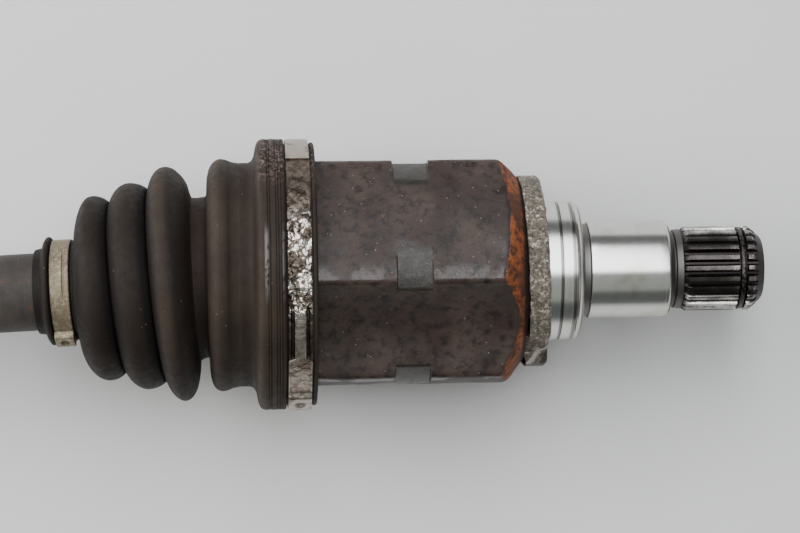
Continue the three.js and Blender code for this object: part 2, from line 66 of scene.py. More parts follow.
MM = 0.001
JOINTS = {joint["name"]: joint for joint in frame["joints"]}
TRIPOD = Vector(JOINTS["inner_tilt"]["pos_m"])
BALL_CENTRE = Vector(JOINTS["outer_tilt"]["pos_m"])
HOUSING_AXIS = Vector(JOINTS["inner_plunge"]["axis"]).normalized()
BEND = Vector((1, 0, 0)).rotation_difference(HOUSING_AXIS)

# Local frames in millimetres: X along the piece's own axis, from the centre of its joint.
AT_TRIPOD = Matrix.Translation(TRIPOD) @ Matrix.Scale(MM, 4)
AT_HOUSING = Matrix.Translation(TRIPOD) @ BEND.to_matrix().to_4x4() @ Matrix.Scale(MM, 4)
AT_BALL = Matrix.Translation(BALL_CENTRE) @ Matrix.Scale(MM, 4)

# ---- dimensions in millimetres ------------------------------------------------------

JOINT_SPACING = (TRIPOD - BALL_CENTRE).length / MM
SHAFT_R = 13.65
NECK_R = 11.0
SEAT_R = 12.0
SEAT_HALF = 12.5

# Housing and stub: places along the housing's axis from the tripod centre. The cone, the
# deflector, the journal's end and the ring groove lie up to 3.5 from their CAD places.
LOBE_ANGLE = 30                     # first lobe, in degrees from +Z towards +Y
LOBE_FACE = 39.2                    # axis to the middle of a lobe's crowned face
LOBE_FACE_R = 100
RIDGE_AT = 32.5                     # degrees from a lobe's middle to its ridge
RIDGE_R = 44.6
VALLEY_R = 35.0
MOUTH_X = -36
TURNED_FROM, TURNED_TO = 8.6, 20.8              # the shallow band cut across the ridges
TURNED_R = 40.8
BAND_EDGES = [TURNED_FROM - 0.15, TURNED_FROM + 0.25, TURNED_TO - 0.25, TURNED_TO + 0.15]
CONE_FROM = 44.6
CONE_TO = 54.4
CONE_CORNER_R = RIDGE_R + 0.3
CONE_END_R = 31.8
TRACK_HALF = 17.3
TRACK_R = 34
BORE_R = 24.5
BORE_END = 40
DEFLECTOR_FROM = 55.2
DEFLECTOR_TO = 62.6
SHOULDER_R = 24.5
SHOULDER_TO = 75.0
SHOULDER_GROOVES = ((66.8, 0.5), (71.4, 0.9))   # middle and half width of each
JOURNAL_R = 17
JOURNAL_FROM = 78.0
JOURNAL_TO = 105.3
SPLINE_FROM = 110.7
SPLINE_TO = 137
SPLINE_TIP_R = 14.85
SPLINE_ROOT_R = 13.2
SPLINE_TEETH = 24
RING_GROOVE = (130.3, 133.2, 12.5)              # from, to and bottom radius
WHEEL_SPLINE_ROOT_R = 13.0
WHEEL_SPLINE_TIP_R = 14.4
WHEEL_SPLINE_TEETH = 26


# ---- mesh making --------------------------------------------------------------------

def circle_angles(sides):
    return np.arange(sides) * 2 * math.pi / sides


def ring(x, radius, angles):
    """Points round the axis: an angle runs from +Z towards +Y, and radius may vary with it."""
    x, r = (np.broadcast_to(value, angles.shape) for value in (x, radius))
    return np.stack([x, r * np.sin(angles), r * np.cos(angles)], axis=1)


def rings_of(outline, angles):
    return [ring(x, r, angles) for x, r in outline]


def section_at(angle, points):
    """An outline of (x, r) points stood up at one angle round the axis."""
    return np.array([(x, r * math.sin(angle), r * math.cos(angle)) for x, r in points])


def columns(outline):
    """The places and the radii of an outline, as two arrays."""
    return np.array([p[0] for p in outline]), np.array([p[1] for p in outline])


def add_object(name, data):
    obj = bpy.data.objects.new(name, data)
    bpy.context.scene.collection.objects.link(obj)
    return obj


def rounded(profile):
    """A profile of (x, r) or (x, r, fillet) corners with its fillets turned into short arcs."""
    points = []
    count = len(profile)
    for i, corner in enumerate(profile):
        here = np.array(corner[:2], float)
        fillet = corner[2] if len(corner) > 2 else 0
        before = np.array(profile[i - 1][:2], float) - here
        after = np.array(profile[(i + 1) % count][:2], float) - here
        lengths = np.linalg.norm(before), np.linalg.norm(after)
        if fillet <= 0 or min(lengths) < 1e-6:
            points.append(here)
            continue
        before, after = before / lengths[0], after / lengths[1]
        half = math.acos(max(-1, min(1, float(before @ after)))) / 2
        if half > math.radians(88):
            points.append(here)
            continue
        reach = min(fillet / math.tan(half), 0.49 * min(lengths))
        radius = reach * math.tan(half)
        bisector = before + after
        centre = here + bisector / np.linalg.norm(bisector) * radius / math.sin(half)
        start = here + before * reach - centre
        end = here + after * reach - centre
        sweep = math.pi - 2 * half
        steps = max(2, math.ceil(math.degrees(sweep) / 14))
        for step in range(steps + 1):
            share = step / steps
            a = math.sin((1 - share) * sweep) * start + math.sin(share * sweep) * end
            points.append(centre + a / math.sin(sweep))
    return points


def dense(points, longest, closed=True):
    """The same outline with no stretch longer than asked."""
    filled = []
    following = points[1:] + points[:1] if closed else points[1:]
    for here, after in zip(points, following):
        parts = max(1, math.ceil(np.linalg.norm(after - here) / longest))
        filled += [here + (after - here) * k / parts for k in range(parts)]
    return filled if closed else [*filled, points[-1]]


def moved(points, matrix):
    """Points taken from a local frame to the model's, by a matrix or by a function of them."""
    if callable(matrix):
        return matrix(points)
    m = np.array(matrix)
    return points @ m[:3, :3].T + m[:3, 3]


def mesh_from(name, points, faces, matrix, sharp=32, crease=None):
    """A smooth-shaded object whose points are local millimetres, kept in the attribute 'local'."""
    mesh = bpy.data.meshes.new(name)
    mesh.from_pydata(moved(points, matrix).tolist(), [], faces)
    local = mesh.attributes.new("local", "FLOAT_VECTOR", "POINT")
    local.data.foreach_set("vector", points.astype(np.float32).ravel())
    # The attribute 'crease' carries painted shade for the rubber.
    if crease is not None:
        depth = mesh.attributes.new("crease", "FLOAT", "POINT")
        depth.data.foreach_set("value", np.resize(crease, len(points)).astype(np.float32))
    mesh.shade_smooth()
    mesh.set_sharp_from_angle(angle=math.radians(sharp))
    return add_object(name, mesh)


def skin_faces(rows, sides, loop):
    """Quads between neighbouring rings; loop joins the last ring to the first."""
    faces = []
    for i in range(rows if loop else rows - 1):
        a, b = i * sides, ((i + 1) % rows) * sides
        faces += [(a + k, a + (k + 1) % sides, b + (k + 1) % sides, b + k) for k in range(sides)]
    return faces


def skin(name, rings, matrix, loop=False, sharp=32, crease=None):
    """A closed body from rings: joined end to end, or with a fan over each open end."""
    sides = len(rings[0])
    points = np.concatenate(rings)
    faces = skin_faces(len(rings), sides, loop)
    if not loop:
        first, last = len(points), len(points) + 1
        points = np.concatenate([points, [rings[0].mean(axis=0), rings[-1].mean(axis=0)]])
        base = (len(rings) - 1) * sides
        faces += [(first, (k + 1) % sides, k) for k in range(sides)]
        faces += [(last, base + k, base + (k + 1) % sides) for k in range(sides)]
    if signed_volume(points, faces) < 0:
        faces = [face[::-1] for face in faces]
    return mesh_from(name, points, faces, matrix, sharp, crease)


def signed_volume(points, faces):
    """Positive when the faces of a closed body point out."""
    triangles = np.array([(f[0], f[k], f[k + 1]) for f in faces for k in range(1, len(f) - 1)])
    a, b, c = (points[triangles[:, k]] for k in range(3))
    return float(np.einsum("ij,ij->", a, np.cross(b, c)))


def turned(name, profile, matrix, sides=96, longest=6.0, sharp=32):
    """A solid of revolution about X. A profile that starts and ends at radius 0 is a bar."""
    bar = profile[0][1] == 0
    outline = dense(rounded(profile), longest)
    angles = circle_angles(sides)
    if bar:
        outline = [p for p in outline if p[1] > 1e-6]
    return skin(name, rings_of(outline, angles), matrix, loop=not bar, sharp=sharp)


def roughened(points, lift):
    """Points moved out from the X axis by lift, which may vary from point to point."""
    radius = np.linalg.norm(points[:, 1:], axis=1)
    points[:, 1:] *= ((radius + lift) / radius)[:, None]
    return points


def smooth_min(a, b, blend):
    """The smaller of two radii, with the corner between them rounded over a blend width."""
    h = np.clip(0.5 + 0.5 * (b - a) / blend, 0, 1)
    return b * (1 - h) + a * h - blend * h * (1 - h)


def wobble(points, scale, seed):
    """Smooth noise between about -1 and 1 at each point, for forged and moulded surfaces."""
    shift = Vector((seed * 17.3, seed * 5.1, seed * 9.7))
    return np.array([noise.noise(Vector(p) * scale + shift) for p in points])


def finish(obj, body, material, nodes):
    """The material, the body that it rides on and the CAD nodes that it stands for."""
    obj.data.materials.append(material)
    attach(obj, body)
    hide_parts(*nodes)


# ---- material making ----------------------------------------------------------------

class Graph:
    """A material's node tree, with a short name for each kind of node.

    Patterns are laid out by the point's place in millimetres: in the object's own space, or by
    the attribute 'local' in the frame of the piece.
    """

    def __init__(self, name, by_piece=False):
        self.material = bpy.data.materials.new(name)
        self.material.use_nodes = True
        self.tree = self.material.node_tree
        self.shader = self.tree.nodes["Principled BSDF"]
        self.where = self.attribute("local", "Vector") if by_piece else self.object_mm()

    def set(self, socket, value):
        if hasattr(value, "links"):
            self.tree.links.new(value, socket)
        elif hasattr(socket.default_value, "__len__") and len(socket.default_value) == 4:
            socket.default_value = (*value, 1) if len(value) == 3 else value
        else:
            socket.default_value = value

    def node(self, kind, output, inputs, **settings):
        """One output of a new node. Its inputs go by name or number, its settings by name."""
        made = self.tree.nodes.new("ShaderNode" + kind)
        for key, value in settings.items():
            setattr(made, key, value)
        for key, value in inputs.items():
            self.set(made.inputs[key], value)
        return made.outputs[output]

    def attribute(self, name, output="Fac"):
        return self.node("Attribute", output, {}, attribute_name=name)

    def object_mm(self):
        place = self.node("TexCoord", "Object", {})
        return self.vector("SCALE", {0: place, "Scale": 1000})

    def vector(self, operation, inputs, output="Vector"):
        return self.node("VectorMath", output, inputs, operation=operation)

    def math(self, operation, first, second=0.0):
        return self.node("Math", 0, {0: first, 1: second}, operation=operation)

    def times(self, first, *others):
        for other in others:
            first = self.math("MULTIPLY", first, other)
        return first

    def parts(self, vector):
        made = self.tree.nodes.new("ShaderNodeSeparateXYZ")
        self.set(made.inputs[0], vector)
        return tuple(made.outputs)

    def combine(self, x, y, z):
        return self.node("CombineXYZ", 0, {0: x, 1: y, 2: z})

    def noise(self, scale, octaves=3, roughness=0.55, distortion=0.0, vector=None):
        inputs = {"Vector": self.where if vector is None else vector, "Scale": scale}
        inputs |= {"Detail": octaves, "Roughness": roughness, "Distortion": distortion}
        return self.node("TexNoise", "Fac", inputs)

    def cells(self, vector, scale):
        """Distance to the nearest of many scattered points."""
        return self.node("TexVoronoi", "Distance", {"Vector": vector, "Scale": scale})

    def step(self, value, low, high, start=0.0, end=1.0):
        """A smooth change from start to end as value goes from low to high."""
        inputs = dict(enumerate((value, low, high, start, end)))
        return self.node("MapRange", "Result", inputs, interpolation_type="SMOOTHSTEP")

    def fall(self, value, low, high):
        return self.step(value, low, high, 1.0, 0.0)

    def within(self, value, low, full_from, full_to, high):
        """1 between full_from and full_to, and 0 outside low and high."""
        return self.times(self.step(value, low, full_from), self.fall(value, full_to, high))

    def near(self, value, at, close, far, start=1.0, end=0.0):
        """From start where value is close to a place to end where it is far from it."""
        away = self.math("ABSOLUTE", self.math("SUBTRACT", value, at))
        return self.step(away, close, far, start, end)

    def mix(self, share, first, second):
        """Between two colours."""
        return self.node("Mix", 2, {0: share, 6: first, 7: second}, data_type="RGBA")

    def blend(self, share, first, second):
        """Between two numbers."""
        return self.node("Mix", 0, {0: share, 2: first, 3: second}, data_type="FLOAT")

    def bump(self, height, distance, strength=1.0, normal=None):
        inputs = {"Height": height, "Distance": distance * MM, "Strength": strength}
        if normal is not None:
            inputs["Normal"] = normal
        return self.node("Bump", "Normal", inputs)

    def out(self, color, roughness, metallic=0.0, normal=None, **extra):
        self.set(self.shader.inputs["Base Color"], color)
        self.set(self.shader.inputs["Roughness"], roughness)
        self.set(self.shader.inputs["Metallic"], metallic)
        if normal is not None:
            self.set(self.shader.inputs["Normal"], normal)
        for key, value in extra.items():
            self.set(self.shader.inputs[key.replace("_", " ")], value)
        return self.material


def local_graph(name):
    """A material's graph, with a point's x, angle from +Z towards +Y and radius in its piece."""
    g = Graph(name, by_piece=True)
    x, y, z = g.parts(g.where)
    radius = g.vector("LENGTH", {0: g.combine(0.0, y, z)}, "Value")
    return g, x, g.math("ARCTAN2", y, z), radius


# ---- materials ----------------------------------------------------------------------

def specks(g, scale, size, rarity):
    """Sparse small dots, each where a cell's centre falls in one of the noise's high patches."""
    rare = g.step(g.noise(scale * 0.8, 1), rarity, rarity + 0.05)
    return g.times(g.fall(g.cells(g.where, scale), size * 0.5, size), rare)


def make_rubber():
    """Old rubber, dusty, with dried crust on the cuff, and painted shade in its creases and on its
    sides away from the light.
    """
    g, x, angle, radius = local_graph("boot_rubber_dust_and_painted_shade")
    # The attribute 'crease' holds painted shade: 1 deep in a valley or on a side away from the light.
    crease = g.attribute("crease")
    around = g.combine(*(g.times(part, 1.1) for part in (x, angle, radius)))
    streaks = g.noise(1.0, 3, vector=around)
    patches = g.noise(0.045, 3)
    grime = g.noise(0.35, 5, 0.65)
    color = g.mix(g.step(patches, 0.35, 0.65), (0.028, 0.0185, 0.0145), (0.040, 0.029, 0.0205))
    color = g.mix(g.step(streaks, 0.5, 0.8, 0.0, 0.35), color, (0.046, 0.034, 0.026))
    color = g.mix(g.step(grime, 0.5, 0.75, 0.0, 0.5), color, (0.022, 0.0215, 0.0165))
    color = g.mix(g.step(x, -84.0, -60.0, 0.62, 0.0), color, (0.0065, 0.0038, 0.0030))
    # Painted shade: near black where 'crease' is high, weaker on the cuff.
    depth = g.times(g.step(crease, 0.05, 0.7, 0.0, 0.9), g.step(x, -66.0, -60.0, 1.0, 0.45))
    color = g.mix(depth, color, (0.0060, 0.0042, 0.0042))
    dots = g.times(specks(g, 0.55, 0.17, 0.62), 0.6)
    color = g.mix(dots, color, (0.22, 0.18, 0.14))
    on_cuff = g.times(g.within(x, -39.0, -36.5, -19.0, -17.0), g.step(angle, 0.62, 0.95))
    flakes = g.step(g.noise(0.5, 5, 0.7), 0.40, 0.52)
    crust = g.times(on_cuff, flakes)
    pale = g.step(g.noise(1.1, 4), 0.4, 0.6)
    color = g.mix(crust, color, g.mix(pale, (0.018, 0.011, 0.010), (0.17, 0.12, 0.105)))
    rubbed = g.math("ADD", g.near(x, -35.2, 0.5, 0.9), g.near(x, -29.5, 0.4, 0.7))
    polished = g.times(rubbed, g.step(grime, 0.40, 0.50), g.near(angle, 0.08, 0.18, 0.32))
    roughness = g.math("SUBTRACT", g.step(grime, 0.3, 0.7, 0.56, 0.74), g.times(polished, 0.36))
    normal = g.bump(g.noise(2.0, 4, vector=around), 0.12, 0.45)
    normal = g.bump(g.noise(1.3, 6, 0.7), 0.22, 0.6, normal)
    normal = g.bump(g.times(crust, g.noise(0.9, 5)), 1.1, 0.9, normal)
    return g.out(color, roughness, normal=normal, Specular_IOR_Level=g.blend(polished, 0.2, 1.0))


def make_forging(name, with_cone):
    """Worn black paint on a forging; the machined cone of the housing is bare and rusty."""
    g, x, _, radius = local_graph(name)
    fine = g.noise(1.5, 6, 0.7)
    broad = g.noise(0.055, 4)
    mottle = g.noise(0.3, 5, 0.65)
    color = g.mix(g.step(broad, 0.35, 0.65), (0.030, 0.017, 0.0142), (0.055, 0.036, 0.029))
    color = g.mix(g.step(mottle, 0.45, 0.66, 0.0, 0.85), color, (0.010, 0.0064, 0.006))
    color = g.mix(g.step(fine, 0.62, 0.8, 0.0, 0.55), color, (0.095, 0.073, 0.060))
    pale_dots = g.times(specks(g, 0.42, 0.15, 0.52), 0.7)
    color = g.mix(pale_dots, color, (0.24, 0.175, 0.14))
    rust_dots = g.times(specks(g, 0.27, 0.11, 0.58), 0.7)
    color = g.mix(rust_dots, color, (0.19, 0.078, 0.03))
    gloss = g.step(g.noise(0.075, 3), 0.50, 0.68, 0.0, 0.7)
    rubbed_ridge = g.times(g.step(radius, 41.4, 42.6), g.step(g.noise(0.09), 0.43, 0.53))
    gloss = g.math("MAXIMUM", gloss, rubbed_ridge)
    if with_cone:
        on_band = g.within(x, TURNED_FROM, TURNED_FROM + 0.3, TURNED_TO - 0.3, TURNED_TO)
        turned_band = g.times(on_band, g.within(radius, 40.2, 40.5, 41.0, 41.3))
        gloss = g.blend(turned_band, gloss, g.step(mottle, 0.4, 0.6, 0.45, 0.75))
        color = g.mix(g.times(turned_band, 0.75), color, (0.017, 0.015, 0.011))
    matt, shiny = (g.step(fine, 0.3, 0.8, low, high) for low, high in ((0.50, 0.70), (0.17, 0.32)))
    roughness = g.blend(gloss, matt, shiny)
    normal = g.bump(mottle, 0.35, 0.5)
    normal = g.bump(fine, 0.16, 0.6, normal)
    if with_cone:
        slope = (CONE_CORNER_R - CONE_END_R - 0.5) / (CONE_TO - 0.8 - CONE_FROM)
        cone_radius = g.math("SUBTRACT", CONE_CORNER_R + slope * CONE_FROM, g.times(x, slope))
        below = g.math("SUBTRACT", cone_radius, radius)
        below = g.math("ADD", below, g.step(mottle, 0.3, 0.7, -0.35, 0.35))
        rust = g.times(g.fall(below, 0.9, 1.5), g.step(radius, 23.0, 24.0))
        tone = g.noise(0.32, 6, 0.7)
        rust_color = g.mix(g.step(tone, 0.38, 0.60), (0.055, 0.017, 0.009), (0.32, 0.082, 0.018))
        rust_color = g.mix(g.step(tone, 0.60, 0.72), rust_color, (0.50, 0.20, 0.07))
        old_rust = g.step(g.noise(0.11, 3), 0.45, 0.65, 0.0, 0.8)
        rust_color = g.mix(old_rust, rust_color, (0.070, 0.026, 0.014))
        # Painted shade: the end of the cone next to the deflector turns near black, for the gap
        # between them.
        rust_color = g.mix(g.step(x, 52.0, 53.3, 0.0, 0.92), rust_color, (0.010, 0.006, 0.005))
        color = g.mix(rust, color, rust_color)
        roughness = g.blend(rust, roughness, 0.8)
        normal = g.bump(g.times(rust, tone), 0.5, 0.8, normal)
    return g.out(color, roughness, normal=normal, Specular_IOR_Level=0.5)


def make_bright_steel():
    """Turned and ground steel with tool lines, dark in its necks and grooves."""
    g, x, angle, radius = local_graph("turned_steel_bright")
    lines = g.noise(1.0, 5, 0.7, vector=g.combine(g.times(x, 4.0), 0.0, 0.0))
    bands = g.noise(1.0, 2, vector=g.combine(g.times(x, 0.5), g.times(angle, 0.3), 0.0))
    stain = g.noise(0.09, 4)
    color = g.mix(g.step(bands, 0.5, 0.9, 0.0, 0.45), (0.66, 0.65, 0.63), (0.40, 0.38, 0.35))
    color = g.mix(g.step(stain, 0.52, 0.75, 0.0, 0.5), color, (0.42, 0.39, 0.28))
    neck = g.within(radius, 11.5, 12.0, 16.2, 16.7)
    low, high = SHOULDER_TO, JOURNAL_FROM
    after_shoulder = g.within(x, low, low + 0.3, high - 0.4, high + 0.1)
    after_shoulder = g.times(after_shoulder, g.step(radius, 16.0, 16.6))
    dark = g.math("MAXIMUM", neck, after_shoulder)
    color = g.mix(g.times(dark, 0.85), color, (0.045, 0.036, 0.034))
    for at in (*(middle for middle, _ in SHOULDER_GROOVES), SHOULDER_TO - 0.8):
        color = g.mix(g.near(x, at, 0.2, 0.8, 0.75), color, (0.05, 0.042, 0.04))
    roughness = g.math("ADD", g.step(lines, 0.3, 0.8, 0.20, 0.30), g.times(dark, 0.25))
    normal = g.bump(lines, 0.008, 0.3)
    return g.out(color, roughness, metallic=1.0, normal=normal)


def make_clamp_steel(name, worked):
    """A dull bronze-grey band. A worked one is crumpled bright where a tool has gripped it."""
    g, _, angle, radius = local_graph(name)
    warp = g.vector("SCALE", {0: g.combine(g.noise(0.5), g.noise(0.43), 0.0), "Scale": 3.2})
    cells = g.cells(g.vector("ADD", {0: g.where, 1: warp}), 0.30)
    soft = g.noise(0.4, 2, distortion=1.2)
    dirt = g.noise(0.30, 5, 0.65)
    color = g.mix(g.step(dirt, 0.35, 0.65), (0.085, 0.063, 0.050), (0.19, 0.152, 0.126))
    roughness = g.step(dirt, 0.4, 0.65, 0.30, 0.44)
    depth = g.times(cells, 0.12)
    if worked:
        gripped = g.within(angle, -0.42, -0.26, 0.34, 0.52)
        color = g.mix(g.times(gripped, 0.5), color, (0.085, 0.066, 0.052))
        patches = g.noise(0.24, 3, distortion=1.5)
        bright = g.times(gripped, g.step(patches, 0.47, 0.53))
        color = g.mix(bright, color, (0.74, 0.69, 0.63))
        # Painted highlight: the raised outer layers of the band are lighter.
        color = g.mix(g.step(radius, 46.75, 46.95, 0.0, 0.55), color, (0.62, 0.55, 0.48))
        # Painted shade: the recessed rails beside the tongue are near black.
        color = g.mix(g.step(radius, 46.25, 46.4, 0.85, 0.0), color, (0.045, 0.034, 0.028))
        roughness = g.blend(bright, roughness, 0.19)
        depth = g.times(cells, g.step(gripped, 0.0, 1.0, 0.12, 1.0))
    color = g.mix(g.step(cells, 0.62, 0.85, 0.0, 0.55), color, (0.04, 0.03, 0.026))
    rust = g.step(g.noise(0.16, 4), 0.54, 0.66)
    rust = g.times(rust, g.step(angle, -0.3, -0.6), 0.6)
    color = g.mix(rust, color, (0.12, 0.045, 0.022))
    normal = g.bump(depth, 1.2, 1.0)
    normal = g.bump(soft, 0.5, 0.7, normal)
    return g.out(color, roughness, metallic=1.0, normal=normal)


def make_zinc(name, tint, dark, grain, bent=False):
    """Rough plating: a tint broken up by darker pits and by flakes; grain says how strongly.

    A bent piece has a painted highlight along the slanting edge where its rim is bent over, and
    painted shade below it.
    """
    g, x, angle, _ = local_graph(name)
    fine = g.noise(0.8, 6, 0.8)
    flake = g.noise(0.75, 4, 0.7)
    blotch = g.noise(0.12, 4)
    color = g.mix(g.step(fine, 0.35, 0.65), dark, tint)
    color = g.mix(g.step(blotch, 0.4, 0.7, 0.0, 0.5), color, dark)
    bare = g.times(g.step(flake, 0.53, 0.61, 0.0, grain), g.step(blotch, 0.35, 0.6, 1.0, 0.3))
    color = g.mix(bare, color, (0.84, 0.76, 0.66))
    if bent:
        slant = g.times(g.math("SUBTRACT", DEFLECTOR_TO, x), 0.030)
        turn = g.math("ADD", angle, slant)
        # Painted shade under the bent rim.
        painted_rim_shade = g.times(g.within(turn, -1.95, -1.75, -1.22, -1.14), 0.85)
        color = g.mix(painted_rim_shade, color, (0.034, 0.022, 0.015))
        # Painted highlight along the slanting edge of the bent rim.
        color = g.mix(g.near(turn, -1.10, 0.012, 0.040, 0.75), color, (0.74, 0.70, 0.66))
    roughness = g.step(fine, 0.3, 0.7, 0.36, 0.62)
    normal = g.bump(fine, 0.5 * grain, 1.0)
    normal = g.bump(flake, 0.35 * grain, 0.8, normal)
    return g.out(color, roughness, metallic=0.55, normal=normal)


def make_shaft_coat():
    """The bar's matt black coat, rubbed thin and rusting a little."""
    g, x, angle, _ = local_graph("shaft_coat_matte")
    fine = g.noise(1.3, 6, 0.75)
    broad = g.noise(0.08, 5)
    rub = g.noise(1.0, 4, vector=g.combine(g.times(x, 0.9), g.times(angle, 0.8), 0.0))
    color = g.mix(g.step(broad, 0.35, 0.65), (0.027, 0.021, 0.018), (0.048, 0.040, 0.034))
    color = g.mix(g.step(rub, 0.55, 0.75, 0.0, 0.6), color, (0.070, 0.060, 0.052))
    color = g.mix(g.step(fine, 0.6, 0.75, 0.0, 0.7), color, (0.13, 0.108, 0.09))
    rust = g.step(g.noise(0.16, 5), 0.62, 0.70, 0.0, 0.8)
    color = g.mix(rust, color, (0.10, 0.040, 0.018))
    roughness = g.step(fine, 0.3, 0.7, 0.45, 0.7)
    normal = g.bump(fine, 0.3, 0.8)
    return g.out(color, roughness, normal=normal, Specular_IOR_Level=0.4)


def make_spline_steel(name, root, tip):
    """Bright on the lands and dark with oil between them; a painted reflection darkens the lands on
    top and brightens those at the sides.
    """
    g, x, angle, radius = local_graph(name)
    fine = g.noise(1.4, 5)
    smear = g.noise(1.0, 3, vector=g.combine(g.times(x, 0.10), g.times(angle, 2.4), 4.0))
    height = g.math("ADD", radius, g.step(fine, 0.3, 0.7, -0.25, 0.25))
    land = g.step(height, root + 0.6, tip - 0.1)
    # Painted reflection: low on the lands on top, high on those at the sides, a little higher towards
    # the ring groove.
    painted_sheen = g.near(angle, 0.12, 0.75, 1.0, 0.06, 0.8)
    painted_sheen = g.math("ADD", painted_sheen, g.step(x, 125.0, 129.5, 0.0, 0.14))
    bare = g.times(land, painted_sheen, g.step(smear, 0.38, 0.60, 1.25, 0.35))
    color = g.mix(bare, (0.040, 0.033, 0.033), (0.72, 0.69, 0.65))
    roughness = g.blend(land, 0.42, 0.27)
    normal = g.bump(fine, 0.1, 0.5)
    return g.out(color, roughness, metallic=1.0, normal=normal)


def make_dark_ring():
    """Blued spring steel with oil on it."""
    g, *_ = local_graph("snap_ring_blued")
    fine = g.noise(1.2, 4)
    color = g.mix(g.step(fine, 0.45, 0.7), (0.035, 0.030, 0.030), (0.16, 0.145, 0.13))
    roughness = g.step(fine, 0.3, 0.7, 0.22, 0.42)
    return g.out(color, roughness, metallic=1.0, normal=g.bump(fine, 0.12, 0.6))


def make_greased_steel():
    """Ground steel under a film of old grease, for the CAD pieces inside both joints."""
    g = Graph("greased_steel_ground")
    film = g.noise(0.12, 4)
    fine = g.noise(1.2, 4)
    color = g.mix(g.step(film, 0.4, 0.65), (0.42, 0.40, 0.37), (0.17, 0.13, 0.09))
    roughness = g.step(fine, 0.3, 0.7, 0.18, 0.36)
    return g.out(color, roughness, metallic=1.0, normal=g.bump(fine, 0.05, 0.4), Coat_Weight=0.4)


def make_ball_steel():
    g = Graph("ball_steel_polished")
    film = g.noise(0.2, 3)
    color = g.mix(g.step(film, 0.45, 0.65), (0.60, 0.59, 0.57), (0.38, 0.35, 0.30))
    return g.out(color, g.step(film, 0.3, 0.7, 0.08, 0.18), metallic=1.0)


RUBBER = make_rubber()
FORGING = make_forging("housing_paint_and_rust", True)
PAINT = make_forging("bell_paint_worn", False)
BRIGHT = make_bright_steel()
BAND = make_clamp_steel("clamp_band_plain", False)
WORKED_BAND = make_clamp_steel("clamp_band_crumpled", True)
GALVANISED, PITS = (0.36, 0.31, 0.25), (0.055, 0.045, 0.035)
YELLOWED, DULL = (0.31, 0.262, 0.175), (0.17, 0.135, 0.085)
ZINC = make_zinc("galvanised_speckled", GALVANISED, PITS, 0.95, bent=True)
PLATED = make_zinc("plated_band_yellowed", YELLOWED, DULL, 0.35)
COAT = make_shaft_coat()
SPLINE = make_spline_steel("stub_spline_oil_and_sheen", SPLINE_ROOT_R, SPLINE_TIP_R)
WHEEL_SPLINE = make_spline_steel("wheel_spline_oil_and_sheen", WHEEL_SPLINE_ROOT_R, WHEEL_SPLINE_TIP_R)
DARK_RING = make_dark_ring()
GREASED = make_greased_steel()
BALL = make_ball_steel()


# ---- tripod housing -----------------------------------------------------------------

def lobe_surface(angles):
    """Radius of the three-lobed forging at each angle, with its ridges slightly rounded."""
    turn = np.degrees(angles) - LOBE_ANGLE
    away = np.abs((turn + 60) % 120 - 60)
    centre = LOBE_FACE_R - LOBE_FACE
    aside = centre * np.sin(np.radians(away))
    face = np.sqrt(LOBE_FACE_R**2 - aside**2) - centre * np.cos(np.radians(away))
    rise = np.clip(1 - (away - RIDGE_AT) / (60 - RIDGE_AT), 0, 1.3)
    flank = VALLEY_R + (RIDGE_R - VALLEY_R) * rise**2.2
    return smooth_min(face, flank, 1.7)


def track_surface(angles):
    """Radius of the three roller tracks at each angle; small between them."""
    away = np.radians((np.degrees(angles) - LOBE_ANGLE + 60) % 120 - 60)
    return np.minimum(TRACK_R, TRACK_HALF / np.maximum(np.abs(np.sin(away)), 0.01))


def housing_envelope(x):
    """The turned outline that trims the lobes: mouth edge, shallow band and cone."""
    clear = RIDGE_R + 1
    edge = [MOUTH_X, MOUTH_X + 1.6, *BAND_EDGES, CONE_FROM, CONE_TO - 0.8, CONE_TO]
    radii = [RIDGE_R - 1.6, clear, clear, TURNED_R, TURNED_R, clear]
    radii += [CONE_CORNER_R, CONE_END_R + 0.5, CONE_END_R - 0.4]
    return float(np.interp(x, edge, radii))


def make_housing():
    """One closed skin: from the floor of the bore out to the mouth, and back over the lobes."""
    angles = circle_angles(360)
    lobes, tracks = lobe_surface(angles), track_surface(angles)
    bore = np.maximum(BORE_R, tracks)
    rings = rings_of([(BORE_END, 5), (BORE_END, 14), (BORE_END, 20)], angles)
    rings.append(ring(BORE_END - 0.6, np.minimum(bore, TRACK_R - 6.4), angles))
    straight = [BORE_END - 5, *np.linspace(30, MOUTH_X + 10, 12)]
    rings += rings_of([(x, bore) for x in straight], angles)
    for share in (0.35, 0.7, 1.0):
        flared = np.maximum(BORE_R + 6.1 * share, tracks + 0.4 * share)
        rings.append(ring(MOUTH_X + 10 * (1 - share), flared, angles))
    rings.append(ring(MOUTH_X, smooth_min(lobes, RIDGE_R - 1.6, 0.4) - 0.9, angles))
    rings.append(ring(MOUTH_X + 0.5, smooth_min(lobes, RIDGE_R - 0.9, 0.4) - 0.2, angles))
    along = np.arange(MOUTH_X + 1.6, CONE_FROM, 1.4)
    down_cone = np.linspace(CONE_FROM + 0.7, CONE_TO - 0.8, 14)
    for x in sorted({*along, *BAND_EDGES, CONE_FROM, *down_cone}):
        corner = 2.6 if x > CONE_FROM else 0.2
        points = ring(x, smooth_min(lobes, housing_envelope(x), corner), angles)
        lift = 0.16 * wobble(points, 0.09, 1) + 0.07 * wobble(points, 0.4, 2)
        rings.append(roughened(points, lift))
    rings += rings_of([(CONE_TO, CONE_END_R - 0.5), (CONE_TO, 29), (CONE_TO, 22)], angles)
    housing = skin("housing_forging", rings, AT_HOUSING, sharp=38)
    finish(housing, "inner_housing", FORGING, ["inner_housing"])


